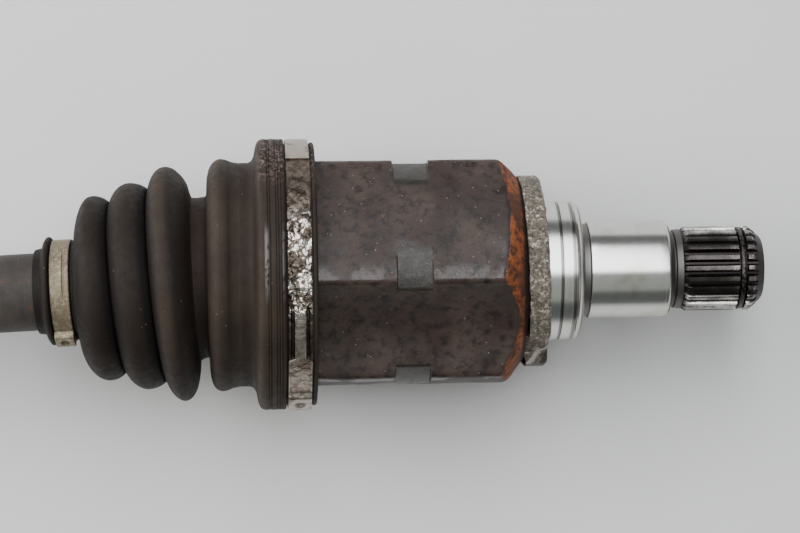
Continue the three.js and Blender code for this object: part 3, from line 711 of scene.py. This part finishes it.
def make_stub():
    """Seat, shoulder, seal journal and neck behind the housing."""
    seat = SHOULDER_R + 0.5
    groove = 0.35
    neck = JOURNAL_R - 0.7
    profile = [(CONE_TO - 3, 0), (CONE_TO - 3, seat), (61.0, seat, 0.2), (61.4, SHOULDER_R)]
    for at, half in SHOULDER_GROOVES:
        profile += [(at - half, SHOULDER_R), (at - half * 0.6, SHOULDER_R - groove)]
        profile += [(at + half * 0.6, SHOULDER_R - groove), (at + half, SHOULDER_R)]
    profile += [
        (73.0, SHOULDER_R - 0.1, 0.5), (74.4, 23.0, 0.9), (SHOULDER_TO, 21.0, 0.6),
        (75.2, neck, 0.6), (77.6, neck), (JOURNAL_FROM, JOURNAL_R, 0.2),
        (JOURNAL_TO, JOURNAL_R, 0.5), (106.6, JOURNAL_R - 1.6, 0.4), (106.7, 13.7, 0.5),
        (108.0, 13.0, 0.4), (108.5, 13.8, 0.3),
        (SPLINE_FROM, 14.1, 0.3), (111.3, SPLINE_ROOT_R - 0.3), (112.6, SPLINE_ROOT_R - 0.6),
        (112.6, 0),
    ]
    stub = turned("stub_turned", profile, AT_HOUSING, sides=160, longest=3.0, sharp=25)
    finish(stub, "inner_housing", BRIGHT, ["inner_housing"])


def toothed(angles, teeth, root, tip):
    """Radius of a spline with slanted flanks, at each angle."""
    share = np.abs((angles * teeth / (2 * math.pi) + 0.5) % 1 - 0.5)
    rise = np.clip((0.39 - share) / 0.20, 0, 1)
    return root + (tip - root) * rise * rise * (3 - 2 * rise)


def spline_rings(start, end, teeth, root, tip, groove=None):
    """Rings of a toothed bar with its tooth ends ramped down and an optional ring groove."""
    angles = circle_angles(teeth * 20)
    profile = toothed(angles, teeth, root, tip)
    ramp = 1.8
    stations = [(start - 0.4, root - 0.1), (start, root + 0.15), (start + ramp, tip)]
    stations += [(x, tip) for x in np.linspace(start + 3, end - 3, 16)]
    stations += [(end - ramp, tip), (end, root + 0.1)]
    if groove:
        low, high, bottom = groove
        stations = [(x, r) for x, r in stations if not low - 0.2 < x < high + 0.2]
        stations += [(low - 0.12, tip), (low, tip - 0.2), (low + 0.05, bottom)]
        stations += [(high - 0.05, bottom), (high, tip - 0.2), (high + 0.12, tip)]
        stations.sort()
    return rings_of([(x, np.minimum(profile, r)) for x, r in stations], angles), angles


def make_stub_spline():
    teeth = SPLINE_TEETH, SPLINE_ROOT_R, SPLINE_TIP_R
    rings, angles = spline_rings(SPLINE_FROM, SPLINE_TO, *teeth, RING_GROOVE)
    chamfer = [(SPLINE_TO + 0.3, 12.9), (139.1, 11.4), (139.5, 10.9)]
    drilled_centre = [(139.5, 5), (139.1, 3.4), (136, 0.6)]
    rings += rings_of(chamfer + drilled_centre, angles)
    spline = skin("stub_spline", rings, AT_HOUSING, sharp=35)
    finish(spline, "inner_housing", SPLINE, ["inner_housing"])


def c_ring(name, low, high, inner, outer, gap, gap_at, matrix):
    """An open snap ring of rounded square wire, turned about X, with its gap at an angle."""
    sections = []
    round_by = min(high - low, outer - inner) * 0.28
    square = [(low, inner), (low, outer), (high, outer), (high, inner)]
    corners = rounded([(x, r, round_by) for x, r in square])
    for turn in np.linspace(gap / 2, 360 - gap / 2, 110):
        sections.append(section_at(math.radians(turn + gap_at), corners))
    return skin(name, sections, matrix, sharp=40)


def make_stub_ring():
    wire = c_ring("stub_snap_ring_wire", 130.9, 132.5, 12.9, 14.6, 24, 150, AT_HOUSING)
    finish(wire, "inner_housing", DARK_RING, ["stub_snap_ring"])


def make_deflector():
    """A pressed channel ring that sits slightly askew, with one stretch of its rim bent over."""
    inner, outer, sheet = SHOULDER_R + 0.8, CONE_END_R + 1.8, 1.3
    low, high = DEFLECTOR_FROM, DEFLECTOR_TO
    profile = [
        (low + 1.2, inner, 0.5), (low + 1.2, inner + sheet, 0.4),
        (high - sheet, inner + sheet, 0.8), (high - sheet, outer - sheet, 0.8),
        (low, outer - sheet, 0.5), (low, outer, 0.5), (high, outer, 1.4), (high, inner, 0.5),
    ]
    angles = circle_angles(288)
    turn = (np.degrees(angles) + 180) % 360 - 180
    askew = -0.9 * (1 + np.sin(angles))
    dent = 0.5 * (1 + np.tanh((-turn - 47) / 1.6)) * 0.5 * (1 + np.tanh((turn + 71) / 2.2))
    rings = []
    for x, r in dense(rounded(profile), 0.9):
        rim = np.clip((r - inner - sheet) / (outer - inner - 2 * sheet), 0, 1)
        near_mouth = np.clip((high - x) / (high - low), 0, 1)
        points = ring(x, r - dent * rim * (3.4 + 1.6 * near_mouth), angles)
        points[:, 0] += askew
        ragged = wobble(points, 0.35, 7)
        points[:, 0] += rim * (0.28 * ragged - 2.2 * dent * near_mouth)
        rough = 0.16 * wobble(points, 0.8, 8) * rim
        points[:, 1:] *= (1 + rough / r)[:, None]
        rings.append(points)
    ring_piece = skin("deflector_ring", rings, AT_HOUSING, loop=True, sharp=40)
    finish(ring_piece, "inner_housing", ZINC, ["dust_deflector"])


# ---- boots --------------------------------------------------------------------------

BOOT_WALL = 2.2
BEND_FROM, BEND_TO = -68, -50
BOOT_SPLIT = -50.8
BOOT_SPLIT_R = 40.7
FOLD_LEAN = 0.042   # slope of the free folds: their +Y sides lean towards the shaft


def bent_boot(points):
    """The inner boot lies on the shaft, leans in its free folds and turns with the housing."""
    share = np.clip((points[:, 0] - BEND_FROM) / (BEND_TO - BEND_FROM), 0, 1)
    share = share * share * (3 - 2 * share)
    free = np.interp(points[:, 0], [-101, -94, -62, -56], [0, 1, 1, 0])
    points = points.copy()
    points[:, 0] -= free * (0.7 + FOLD_LEAN * points[:, 1])
    axis, angle = BEND.to_axis_angle()
    axis = np.array(axis)
    turn = (share * angle)[:, None]
    along = points @ axis
    spun = points * np.cos(turn) + np.cross(axis, points) * np.sin(turn)
    spun += axis * along[:, None] * (1 - np.cos(turn))
    return spun * MM + np.array(TRIPOD)


def quarter(x, r, half, height, start, end, steps=9):
    """Part of an elliptical fold whose crest is at (x, r), between two signed offsets from it."""
    points = []
    for offset in np.linspace(start, end, steps):
        share = min(1.0, abs(offset) / half)
        points.append((x + offset, r - height * (1 - math.sqrt(1 - share * share))))
    return points


def crest(x, r, left, right, left_fold, right_fold, steps=9):
    """A fold between two valleys. Each side is (half width, height) of its ellipse."""
    up = quarter(x, r, *left_fold, -left, 0, steps)
    return up + quarter(x, r, *right_fold, 0, right, steps)[1:]


def drawn_in(outline, wall, least):
    """The inner face of a wall that follows an outer outline, no smaller than the given radius."""
    xs, rs = columns(outline)
    reach = np.linspace(-wall, wall, 15)
    inner = []
    for x in np.arange(xs[0], xs[-1], 0.9)[::-1]:
        near = np.interp(x + reach, xs, rs) - np.sqrt(np.maximum(wall**2 - reach**2, 0))
        inner.append((float(x), max(least, float(near.min()))))
    return inner


def crease_depth(outline, sides):
    """From 0 on a crest to 1 deep in a valley, for every point of the rings of an outline; the rubber
    gets painted shade by it.
    """
    xs, rs = columns(outline)
    depth = [float(rs[np.abs(xs - x) < 5.5].max() - r) for x, r in zip(xs, rs)]
    return np.repeat(np.clip(np.array(depth) / 6.5, 0, 1), sides)


def shaded_side(outline, sides):
    """From 0 to 1, how squarely each point faces the housing, away from the key light: painted shade
    for the rubber.
    """
    along, out = (np.gradient(column) for column in columns(outline))
    facing = -out / np.maximum(np.hypot(along, out), 1e-6)
    return np.repeat(np.clip(0.15 + 1.5 * facing, 0, 1), sides)


def as_points(outline):
    return [np.array(p[:2], float) for p in outline]


SMALL_LIP = [
    (-115.8, 13.9), (-115.6, 14.8, 0.4), (-112.9, 15.3, 0.8), (-112.2, 17.6, 0.8),
    (-111.2, 19.2, 1.0), (-109.9, 18.9, 0.6), (-109.5, 16.8, 0.3), (-102.4, 16.8, 0.3),
    (-101.9, 17.4, 0.5),
]
CUFF_STEP = [
    (-46.2, 39.5), (-44.6, 39.2), (-41.2, 39.2), (-39.9, 39.8), (-39.1, 41.4), (-38.5, 44.6),
    (-37.9, 46.3), (-37.0, 47.2), (-36.0, 47.5),
]
CUFF_RIBS = (-34.7, -33.9, -31.9, -31.0, -30.1)
CLAMP_SEAT = [
    (-29.1, 47.4), (-28.7, 47.0), (-28.6, 45.6), (-19.7, 45.6), (-19.5, 46.1), (-18.6, 46.1),
    (-18.1, 45.6),
]
CUFF_INSIDE = [(-39.8, 37.0), (-42, 36.9), (-45.5, 37.0), (-48, 38.4), (BOOT_SPLIT, 39.0)]


def make_inner_boot():
    """Two pieces that share a seam ring: folds from the bar to the tilting body, and the cuff."""
    lip = rounded(SMALL_LIP)[1:-1]
    folds = crest(-92.3, 32.6, 8.6, 5.5, (8.65, 15.4), (8.8, 11.0))
    folds += [(-86.7, 29.0), (-86.5, 28.7)]
    folds += crest(-79.2, 36.4, 7.2, 6.3, (8.4, 13.0), (9.4, 9.0))
    folds += [(-72.75, 33.0), (-72.55, 32.7)]
    folds += crest(-66.5, 41.3, 5.95, 6.85, (6.4, 12.0), (6.9, 12.8), 12)
    valley = [(-59.2, 28.7), (-58.0, 28.3), (-56.0, 28.2), (-55.2, 28.7), (-54.9, 30.0)]
    last = quarter(BOOT_SPLIT, BOOT_SPLIT_R, 4.3, 6.6, -4.25, 0)
    outside = as_points([*lip, *folds, *valley, *last])
    inside = as_points(drawn_in(outside, BOOT_WALL, SHAFT_R + 0.15))
    angles = circle_angles(180)
    outline = dense(outside + inside, 1.6)
    sides = len(angles)
    # Painted shade, kept in the attribute 'crease': deep in the valleys and on the sides of the folds
    # away from the key light.
    painted_shade = np.maximum(crease_depth(outline, sides), 0.52 * shaded_side(outline, sides))
    rings = rings_of(outline, angles)
    folded = skin("inner_boot_folds", rings, bent_boot, loop=True, sharp=50, crease=painted_shade)
    folded.data.materials.append(RUBBER)
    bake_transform(folded)
    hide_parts("inner_boot")

    ribs = []
    for at in CUFF_RIBS:
        ribs += [(at - 0.22, 47.5), (at - 0.1, 47.22), (at + 0.1, 47.22), (at + 0.22, 47.5)]
    half_fold = quarter(BOOT_SPLIT, BOOT_SPLIT_R, 5.2, 4.0, 0, 3.3)
    collar = as_points([*half_fold, *CUFF_STEP, *ribs, *CLAMP_SEAT])
    angles = circle_angles(240)
    rings = rings_of(dense(collar, 1.6, closed=False), angles)
    seat = lobe_surface(angles) + 0.25
    rings += [ring(-18.0, np.minimum(seat + 1.0, 45.2), angles)]
    rings += rings_of([(x, seat) for x in (-18.3, -24, -30, MOUTH_X - 0.3)], angles)
    rings += rings_of([(MOUTH_X - 0.35, 36.9), *CUFF_INSIDE], angles)
    outline = [(float(p[:, 0].mean()), float(np.hypot(p[0, 1], p[0, 2]))) for p in rings]
    sides = len(angles)
    # Painted shade on the cuff, kept in the attribute 'crease', weaker than on the folds.
    painted_shade = 0.6 * np.maximum(crease_depth(outline, sides), shaded_side(outline, sides))
    cuff = skin("inner_boot_cuff", rings, bent_boot, loop=True, sharp=50, crease=painted_shade)
    cuff.data.materials.append(RUBBER)
    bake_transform(cuff)
    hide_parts("inner_boot")


OUTER_COLLAR = [
    (-6.6, 43.4), (-6.5, 44.6, 0.4), (-6.0, 45.3, 0.5), (-3.3, 45.3, 0.3), (-3.2, 44.3, 0.2),
    (5.4, 44.3, 0.2), (5.5, 45.3, 0.3), (12.8, 45.3, 2.0), (14.6, 41.5, 1.0), (15.2, 40.5),
]
OUTER_VALLEYS = [
    (15.2, 40.5), (26.4, 33.4), (37.6, 29.8), (48.6, 26.4), (59.6, 23.0), (70.4, 19.8),
    (81.0, 16.9),
]
OUTER_CRESTS = [(20.6, 42.6), (32.0, 38.8), (43.1, 34.8), (54.0, 30.8), (65.0, 26.8), (75.6, 22.4)]
OUTER_LIP = [
    (81.6, 16.7, 0.2), (82.2, 16.6), (90.8, 16.6, 0.3), (91.1, 18.4, 0.6), (93.4, 18.6, 0.8),
    (96.8, 15.2, 0.6), (97.0, 14.0),
]


def make_outer_boot():
    outside = rounded(OUTER_COLLAR)[1:-1]
    for number, (x, r) in enumerate(OUTER_CRESTS):
        before, after = OUTER_VALLEYS[number], OUTER_VALLEYS[number + 1]
        left, right = x - before[0], after[0] - x
        fold = crest(x, r, left * 0.97, right * 0.97, (left, r - before[1]), (right, r - after[1]))
        outside += as_points([*fold, after])
    outside += rounded(OUTER_LIP)[1:-1]
    inside = [p for p in as_points(drawn_in(outside, BOOT_WALL, SHAFT_R + 0.15)) if p[0] > 17.5]
    inside += as_points([(17.0, 38.2), (16.3, 38.4), (16.25, 43.0), (-6.5, 43.0)])
    angles = circle_angles(160)
    outline = dense([*outside, *inside], 1.6)
    # Painted shade in the valleys of the folds, kept in the attribute 'crease'.
    painted_shade = crease_depth(outline, len(angles))
    rings = rings_of(outline, angles)
    boot = skin("outer_boot_folds", rings, AT_BALL, loop=True, sharp=50, crease=painted_shade)
    boot.data.materials.append(RUBBER)
    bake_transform(boot)
    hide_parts("outer_boot")


# ---- clamps -------------------------------------------------------------------------

def band(name, turns, low, high, inner, outer, matrix, whole=False, across=14):
    """A strip wrapped round X, closed on itself if it is whole.

    Its edges low and high depend on the angle, and its outer radius on that and on the place.
    """
    sections = []
    shares = np.linspace(1, 0, across)
    for turn in turns:
        a, b = low(turn), high(turn)
        points = [(a, inner), (b, inner)]
        for share in shares:
            edge = 0.16 * (1 - min(1.0, min(share, 1 - share) * (b - a) / 0.35)) ** 2
            points.append((a + (b - a) * share, outer(turn, a + (b - a) * share) - edge))
        sections.append(section_at(math.radians(turn), points))
    return skin(name, sections, matrix, loop=whole, sharp=45)


def smooth(value, low, high):
    share = min(1.0, max(0.0, (value - low) / (high - low)))
    return share * share * (3 - 2 * share)


def hump(value, low, high, ramp):
    return smooth(value, low, low + ramp) * (1 - smooth(value, high - ramp, high))


EAR_TURN = -67


def crimped_ear(turn, x, middle, radius, half_turn, height, half_width):
    """Rise of a crimped ear over its band, with the punched dimple in its middle."""
    ear = height * hump(turn, EAR_TURN - half_turn, EAR_TURN + half_turn, half_turn * 0.3)
    aside = math.hypot((turn - EAR_TURN) * math.pi / 180 * radius, (x - middle) * 1.15)
    dimple = 1 - smooth(aside, half_width * 0.42, half_width * 0.68)
    return ear * (1 - 0.75 * dimple)


def make_large_clamp():
    """The band, the tail that narrows to a tongue over it, and the head that overlaps it."""
    low, high, middle = -28.25, -20.15, -24.2
    tongue, full = 1.8, 3.98        # half widths of the tail

    def base(turn, x):
        rails = hump(abs(x - middle), tongue + 0.1, 3.2, 0.25) * hump(turn, -38.5, -13, 1.0)
        crease = 0.10 * math.sin(turn * 0.9 + x * 1.3) * math.sin(turn * 0.31 + x * 0.7)
        lift = 0.12 * noise.noise(Vector((x * 0.5, turn * 0.22, 3.1)))
        return 46.62 - 0.75 * rails + (crease + lift) * hump(turn, -16, 58, 6)

    turns = np.arange(0, 360, 0.8) - 180
    ring_band = band(
        "inner_large_clamp_band", turns, lambda t: low, lambda t: high,
        45.7, base, AT_HOUSING, True, 32,
    )
    finish(ring_band, "inner_housing", WORKED_BAND, ["inner_boot_large_clamp"])

    def layer(turn, x):
        return 47.35 + crimped_ear(turn, x, middle, 47, 8.6, 1.9, 3.6)

    def wide(turn):
        return tongue + (full - tongue) * (1 - smooth(turn, -38.4, -37.6))

    strip = band(
        "inner_large_clamp_tail", np.arange(-84, -14.5, 0.5), lambda t: middle - wide(t),
        lambda t: middle + wide(t), 46.5, layer, AT_HOUSING, False, 28,
    )
    finish(strip, "inner_housing", WORKED_BAND, ["inner_boot_large_clamp"])

    def overlap(turn, x):
        return 47.3 + 0.1 * noise.noise(Vector((x * 0.6, turn * 0.15, 0.5)))

    head = band(
        "inner_large_clamp_head", np.arange(57, 150, 1.0), lambda t: low + 0.1,
        lambda t: high - 0.1, 46.5, overlap, AT_HOUSING, False, 20,
    )
    finish(head, "inner_housing", WORKED_BAND, ["inner_boot_large_clamp"])


def make_small_clamp(name, node, body, matrix, low, high, inner, material):
    """A narrow band with its crimped ear and the slot that its tail hooks into."""
    middle = (low + high) / 2
    outer = inner + 0.95

    def surface(turn, x):
        slit = hump(x, high - 2.4, high - 1.4, 0.2) * hump(turn, -7, 51, 1.5)
        ear = crimped_ear(turn, x, middle, outer, 15, 2.3, (high - low) * 0.44)
        return outer - 0.6 * slit + ear

    turns = np.arange(0, 360, 1.5) - 180
    strip = band(name, turns, lambda t: low, lambda t: high, inner, surface, matrix, True, 34)
    finish(strip, body, material, [node])


def make_bell_clamp():
    low, high = -2.9, 5.1

    def surface(turn, x):
        overlap = 0.55 * hump(turn, -110, -20, 1.0)
        return 45.35 + overlap + crimped_ear(turn, x, (low + high) / 2, 46, 8.4, 1.7, 3.5)

    turns = np.arange(0, 360, 0.8) - 180
    strip = band(
        "outer_large_clamp_band", turns, lambda t: low, lambda t: high,
        44.45, surface, AT_BALL, True, 24,
    )
    finish(strip, "outer_race", BAND, ["outer_boot_large_clamp"])


# ---- shaft and wheel end ------------------------------------------------------------

def make_shaft():
    ball_end = -JOINT_SPACING
    seat, slot_r = SEAT_HALF, SEAT_R - 1.4
    wheel_end = [
        (-seat - 3.5, SEAT_R - 1, 0.3), (-seat - 2.4, SEAT_R, 0.3), (-seat - 1.5, SEAT_R),
        (-seat - 1.5, slot_r), (-seat + 0.1, slot_r), (-seat + 0.1, SEAT_R), (seat, SEAT_R, 0.5),
        (seat + 2, NECK_R, 2.0), (32, NECK_R, 3.0), (37, SHAFT_R, 3.0),
    ]
    profile = [(ball_end - seat - 3.5, 0), *((ball_end + x, *rest) for x, *rest in wheel_end)]
    profile += [
        (-66, SHAFT_R, 3.0), (-60, NECK_R, 3.0), (-seat - 2, NECK_R, 2.0), (-seat, SEAT_R, 0.5),
        (seat - 0.1, SEAT_R), (seat - 0.1, slot_r), (seat + 1.5, slot_r), (seat + 1.5, SEAT_R),
        (seat + 2.4, SEAT_R, 0.3), (seat + 3.5, SEAT_R - 1, 0.3), (seat + 3.5, 0),
    ]
    shaft = turned("shaft_bar", profile, AT_TRIPOD, sides=128, longest=4.0, sharp=30)
    finish(shaft, "shaft", COAT, ["shaft"])


BALL_COUNT = 6
BALL_PITCH = 29.5
BALL_GROOVE_R = 10.6
BELL_SPHERE_R = 33.7


def groove_radius(x, angles):
    """How far out the six ball grooves reach at a station, found by halving."""
    away = (angles * BALL_COUNT / (2 * math.pi) + 0.5) % 1 - 0.5
    away = away * 2 * math.pi / BALL_COUNT

    def outside(r):
        from_path = np.hypot(r * np.cos(away), x) - BALL_PITCH
        return from_path**2 + (r * np.sin(away)) ** 2 > BALL_GROOVE_R**2

    low = np.full_like(angles, math.sqrt(BALL_PITCH**2 - x**2) if abs(x) < BALL_PITCH else 0)
    missed = outside(low)
    high = np.full_like(angles, BALL_PITCH + BALL_GROOVE_R + 1)
    for _ in range(24):
        middle = (low + high) / 2
        out = outside(middle)
        high, low = np.where(out, middle, high), np.where(out, low, middle)
    return np.where(missed, 0, low)


BELL_OUTSIDE = [
    (16.0, 41.4), (15.2, 42.3, 0.4), (-6.8, 42.3), (-7.0, 45.5, 0.5), (-29.5, 45.8, 2.5),
    (-36.5, 43.6, 4.0), (-45.5, 31.0, 5.0), (-46.6, 29.2, 1.2), (-49.0, 28.4, 0.4),
    (-49.3, 27.2, 0.4), (-50.0, 26.4, 0.3), (-50.0, 18.4, 0.3), (-50.3, 17.6),
]


def make_bell():
    angles = circle_angles(240)
    rings = rings_of([(-31.0, 3), (-31.0, 8)], angles)
    for x in (-30, -28, -24, -20, -16, -12, -8, -4, 0, 4, 8, 12, 13.2):
        bore = math.sqrt(BELL_SPHERE_R**2 - x**2)
        rings.append(ring(x, np.maximum(bore, groove_radius(x, angles)), angles))
    for x in (13.8, 15.2):
        rings.append(ring(x, np.maximum(30.9, groove_radius(x, angles)), angles))
    mouth = np.clip(groove_radius(16, angles) + 0.6, 31.5, 40.4)
    rings.append(ring(16, mouth, angles))
    for x, r in dense(rounded(BELL_OUTSIDE)[1:-1], 2.2, closed=False):
        points = ring(x, r, angles)
        if x < -7.5 and r > 27:
            lift = 0.14 * wobble(points, 0.08, 4) + 0.06 * wobble(points, 0.4, 5)
            points = roughened(points, lift)
        rings.append(points)
    bell = skin("wheel_bell_forging", rings, AT_BALL, sharp=38)
    finish(bell, "outer_race", PAINT, ["outer_race"])


def make_wheel_stub():
    seat = [
        (-44, 0), (-44, 17), (-50.4, 17.5), (-57.6, 17.5, 0.5), (-58.2, 14.0, 0.6), (-60, 13.2),
        (-60, 0),
    ]
    bearing_seat = turned("wheel_bearing_seat", seat, AT_BALL, sides=128, longest=3.0, sharp=28)
    finish(bearing_seat, "outer_race", BRIGHT, ["outer_race"])
    teeth = WHEEL_SPLINE_TEETH, WHEEL_SPLINE_ROOT_R, WHEEL_SPLINE_TIP_R
    rings, angles = spline_rings(-86, -58.6, *teeth)
    rings = rings_of([(-88, 10.9), (-87.3, 11.4), (-86.3, 12.4)], angles) + rings
    spline = skin("wheel_spline", rings, AT_BALL, sharp=35)
    finish(spline, "outer_race", WHEEL_SPLINE, ["outer_race"])


def make_wheel_thread():
    """The fine thread that takes the hub nut, with its point chamfered and centre drilled."""
    start, end, pitch, depth, crest_r = -111.3, -89.2, 1.5, 0.75, 11.0
    angles = circle_angles(96)
    drilled_centre = [(-109.6, 0.6), (-111.4, 2.6), (-112, 3.0)]
    rings = rings_of([*drilled_centre, (-112, 8.6), (-111.5, 9.6)], angles)
    for x in np.arange(start, end, pitch / 8):
        phase = (x / pitch + angles / (2 * math.pi)) % 1
        wave = np.abs(phase - 0.5) * 2
        fade = max(0, min(1.0, (x - start) / 1.5, (end - x) / 1.0))
        chamfer = 9.8 + (x - start) * 1.1
        rings.append(ring(x, np.minimum(crest_r - depth * fade * wave, chamfer), angles))
    rings += rings_of([(-89.0, 10.4), (-87.9, 10.4), (-86.5, 10.6)], angles)
    thread = skin("wheel_thread", rings, AT_BALL, sharp=60)
    finish(thread, "outer_race", BRIGHT, ["outer_race"])


# ---- assembly -----------------------------------------------------------------------

make_housing()
make_stub()
make_stub_spline()
make_stub_ring()
make_deflector()
make_inner_boot()
make_outer_boot()
make_large_clamp()
make_small_clamp(
    "inner_small_clamp_band", "inner_boot_small_clamp", "shaft", AT_TRIPOD,
    -109.3, -102.7, 16.95, PLATED,
)
make_small_clamp(
    "outer_small_clamp_band", "outer_boot_small_clamp", "shaft", AT_BALL,
    82.6, 90.4, 17.1, BAND,
)
make_bell_clamp()
make_shaft()
make_bell()
make_wheel_stub()
make_wheel_thread()

# The CAD pieces that no Blender piece replaces are the balls and the greased inner parts.
for name, node in frame["nodes"].items():
    material = BALL if name.startswith("ball_") else GREASED
    node.data.materials.clear()
    node.data.materials.append(material)


# ---- floor, light and camera --------------------------------------------------------

def make_floor():
    half = 3.0
    mesh = bpy.data.meshes.new("floor")
    corners = [(-half, -half), (half, -half), (half, half), (-half, half)]
    mesh.from_pydata([(x, y, cad_box[0][2]) for x, y in corners], [], [(0, 1, 2, 3)])
    floor = add_object("floor", mesh)
    g = Graph("floor_plain")
    grain = g.noise(0.02, 4)
    mesh.materials.append(g.out(g.mix(grain, (0.78, 0.78, 0.77), (0.83, 0.83, 0.82)), 0.75))


def area_light(name, offset, size, power, color=(1, 1, 1), aimed=False):
    """A soft panel, placed from the tripod centre in metres. It faces down unless it is aimed."""
    data = bpy.data.lights.new(name, "AREA")
    data.shape = "RECTANGLE"
    data.size, data.size_y = size
    data.energy, data.color = power, color
    light = add_object(name, data)
    light.location = TRIPOD + Vector(offset)
    if aimed:
        light.rotation_euler = (-Vector(offset)).to_track_quat("-Z", "Y").to_euler()


def make_lights():
    area_light("overhead_panel", (0.22, 1.15, 1.5), (0.75, 2.6), 35, (0.95, 0.97, 1.0))
    area_light("left_panel", (-1.5, 0.9, 1.4), (1.6, 2.2), 40)
    area_light("left_strip", (-1.7, 0.35, 0.6), (0.8, 1.0), 24, (1.0, 0.98, 0.95), aimed=True)
    area_light("near_fill", (0.2, -1.15, 1.4), (2.6, 1.5), 4, (0.92, 0.97, 0.90))
    world = bpy.data.worlds.new("studio")
    world.use_nodes = True
    background = world.node_tree.nodes["Background"].inputs
    background["Color"].default_value = (0.80, 0.86, 0.82, 1)
    background["Strength"].default_value = 0.14
    bpy.context.scene.world = world


CAMERA_TURN = -3.3          # degrees about Z, so that the bar lies as in the photograph
CAMERA_HEIGHT = 0.95        # metres above the tripod centre
PICTURE_CENTRE = (11.96, 2.29)   # millimetres from the tripod centre, across and up the picture


def make_camera():
    """Straight above the inner joint, looking down."""
    turn = math.radians(CAMERA_TURN)
    right = Vector((math.cos(turn), math.sin(turn), 0))
    up = Vector((-math.sin(turn), math.cos(turn), 0))
    data = bpy.data.cameras.new("camera")
    data.lens, data.sensor_width = 121.5, 36
    data.clip_start, data.clip_end = 0.01, 50
    camera = add_object("camera", data)
    aside = (right * PICTURE_CENTRE[0] + up * PICTURE_CENTRE[1]) * MM
    camera.location = TRIPOD + aside + Vector((0, 0, CAMERA_HEIGHT))
    camera.rotation_euler = (0, 0, turn)
    bpy.context.scene.camera = camera


make_floor()
make_lights()
make_camera()
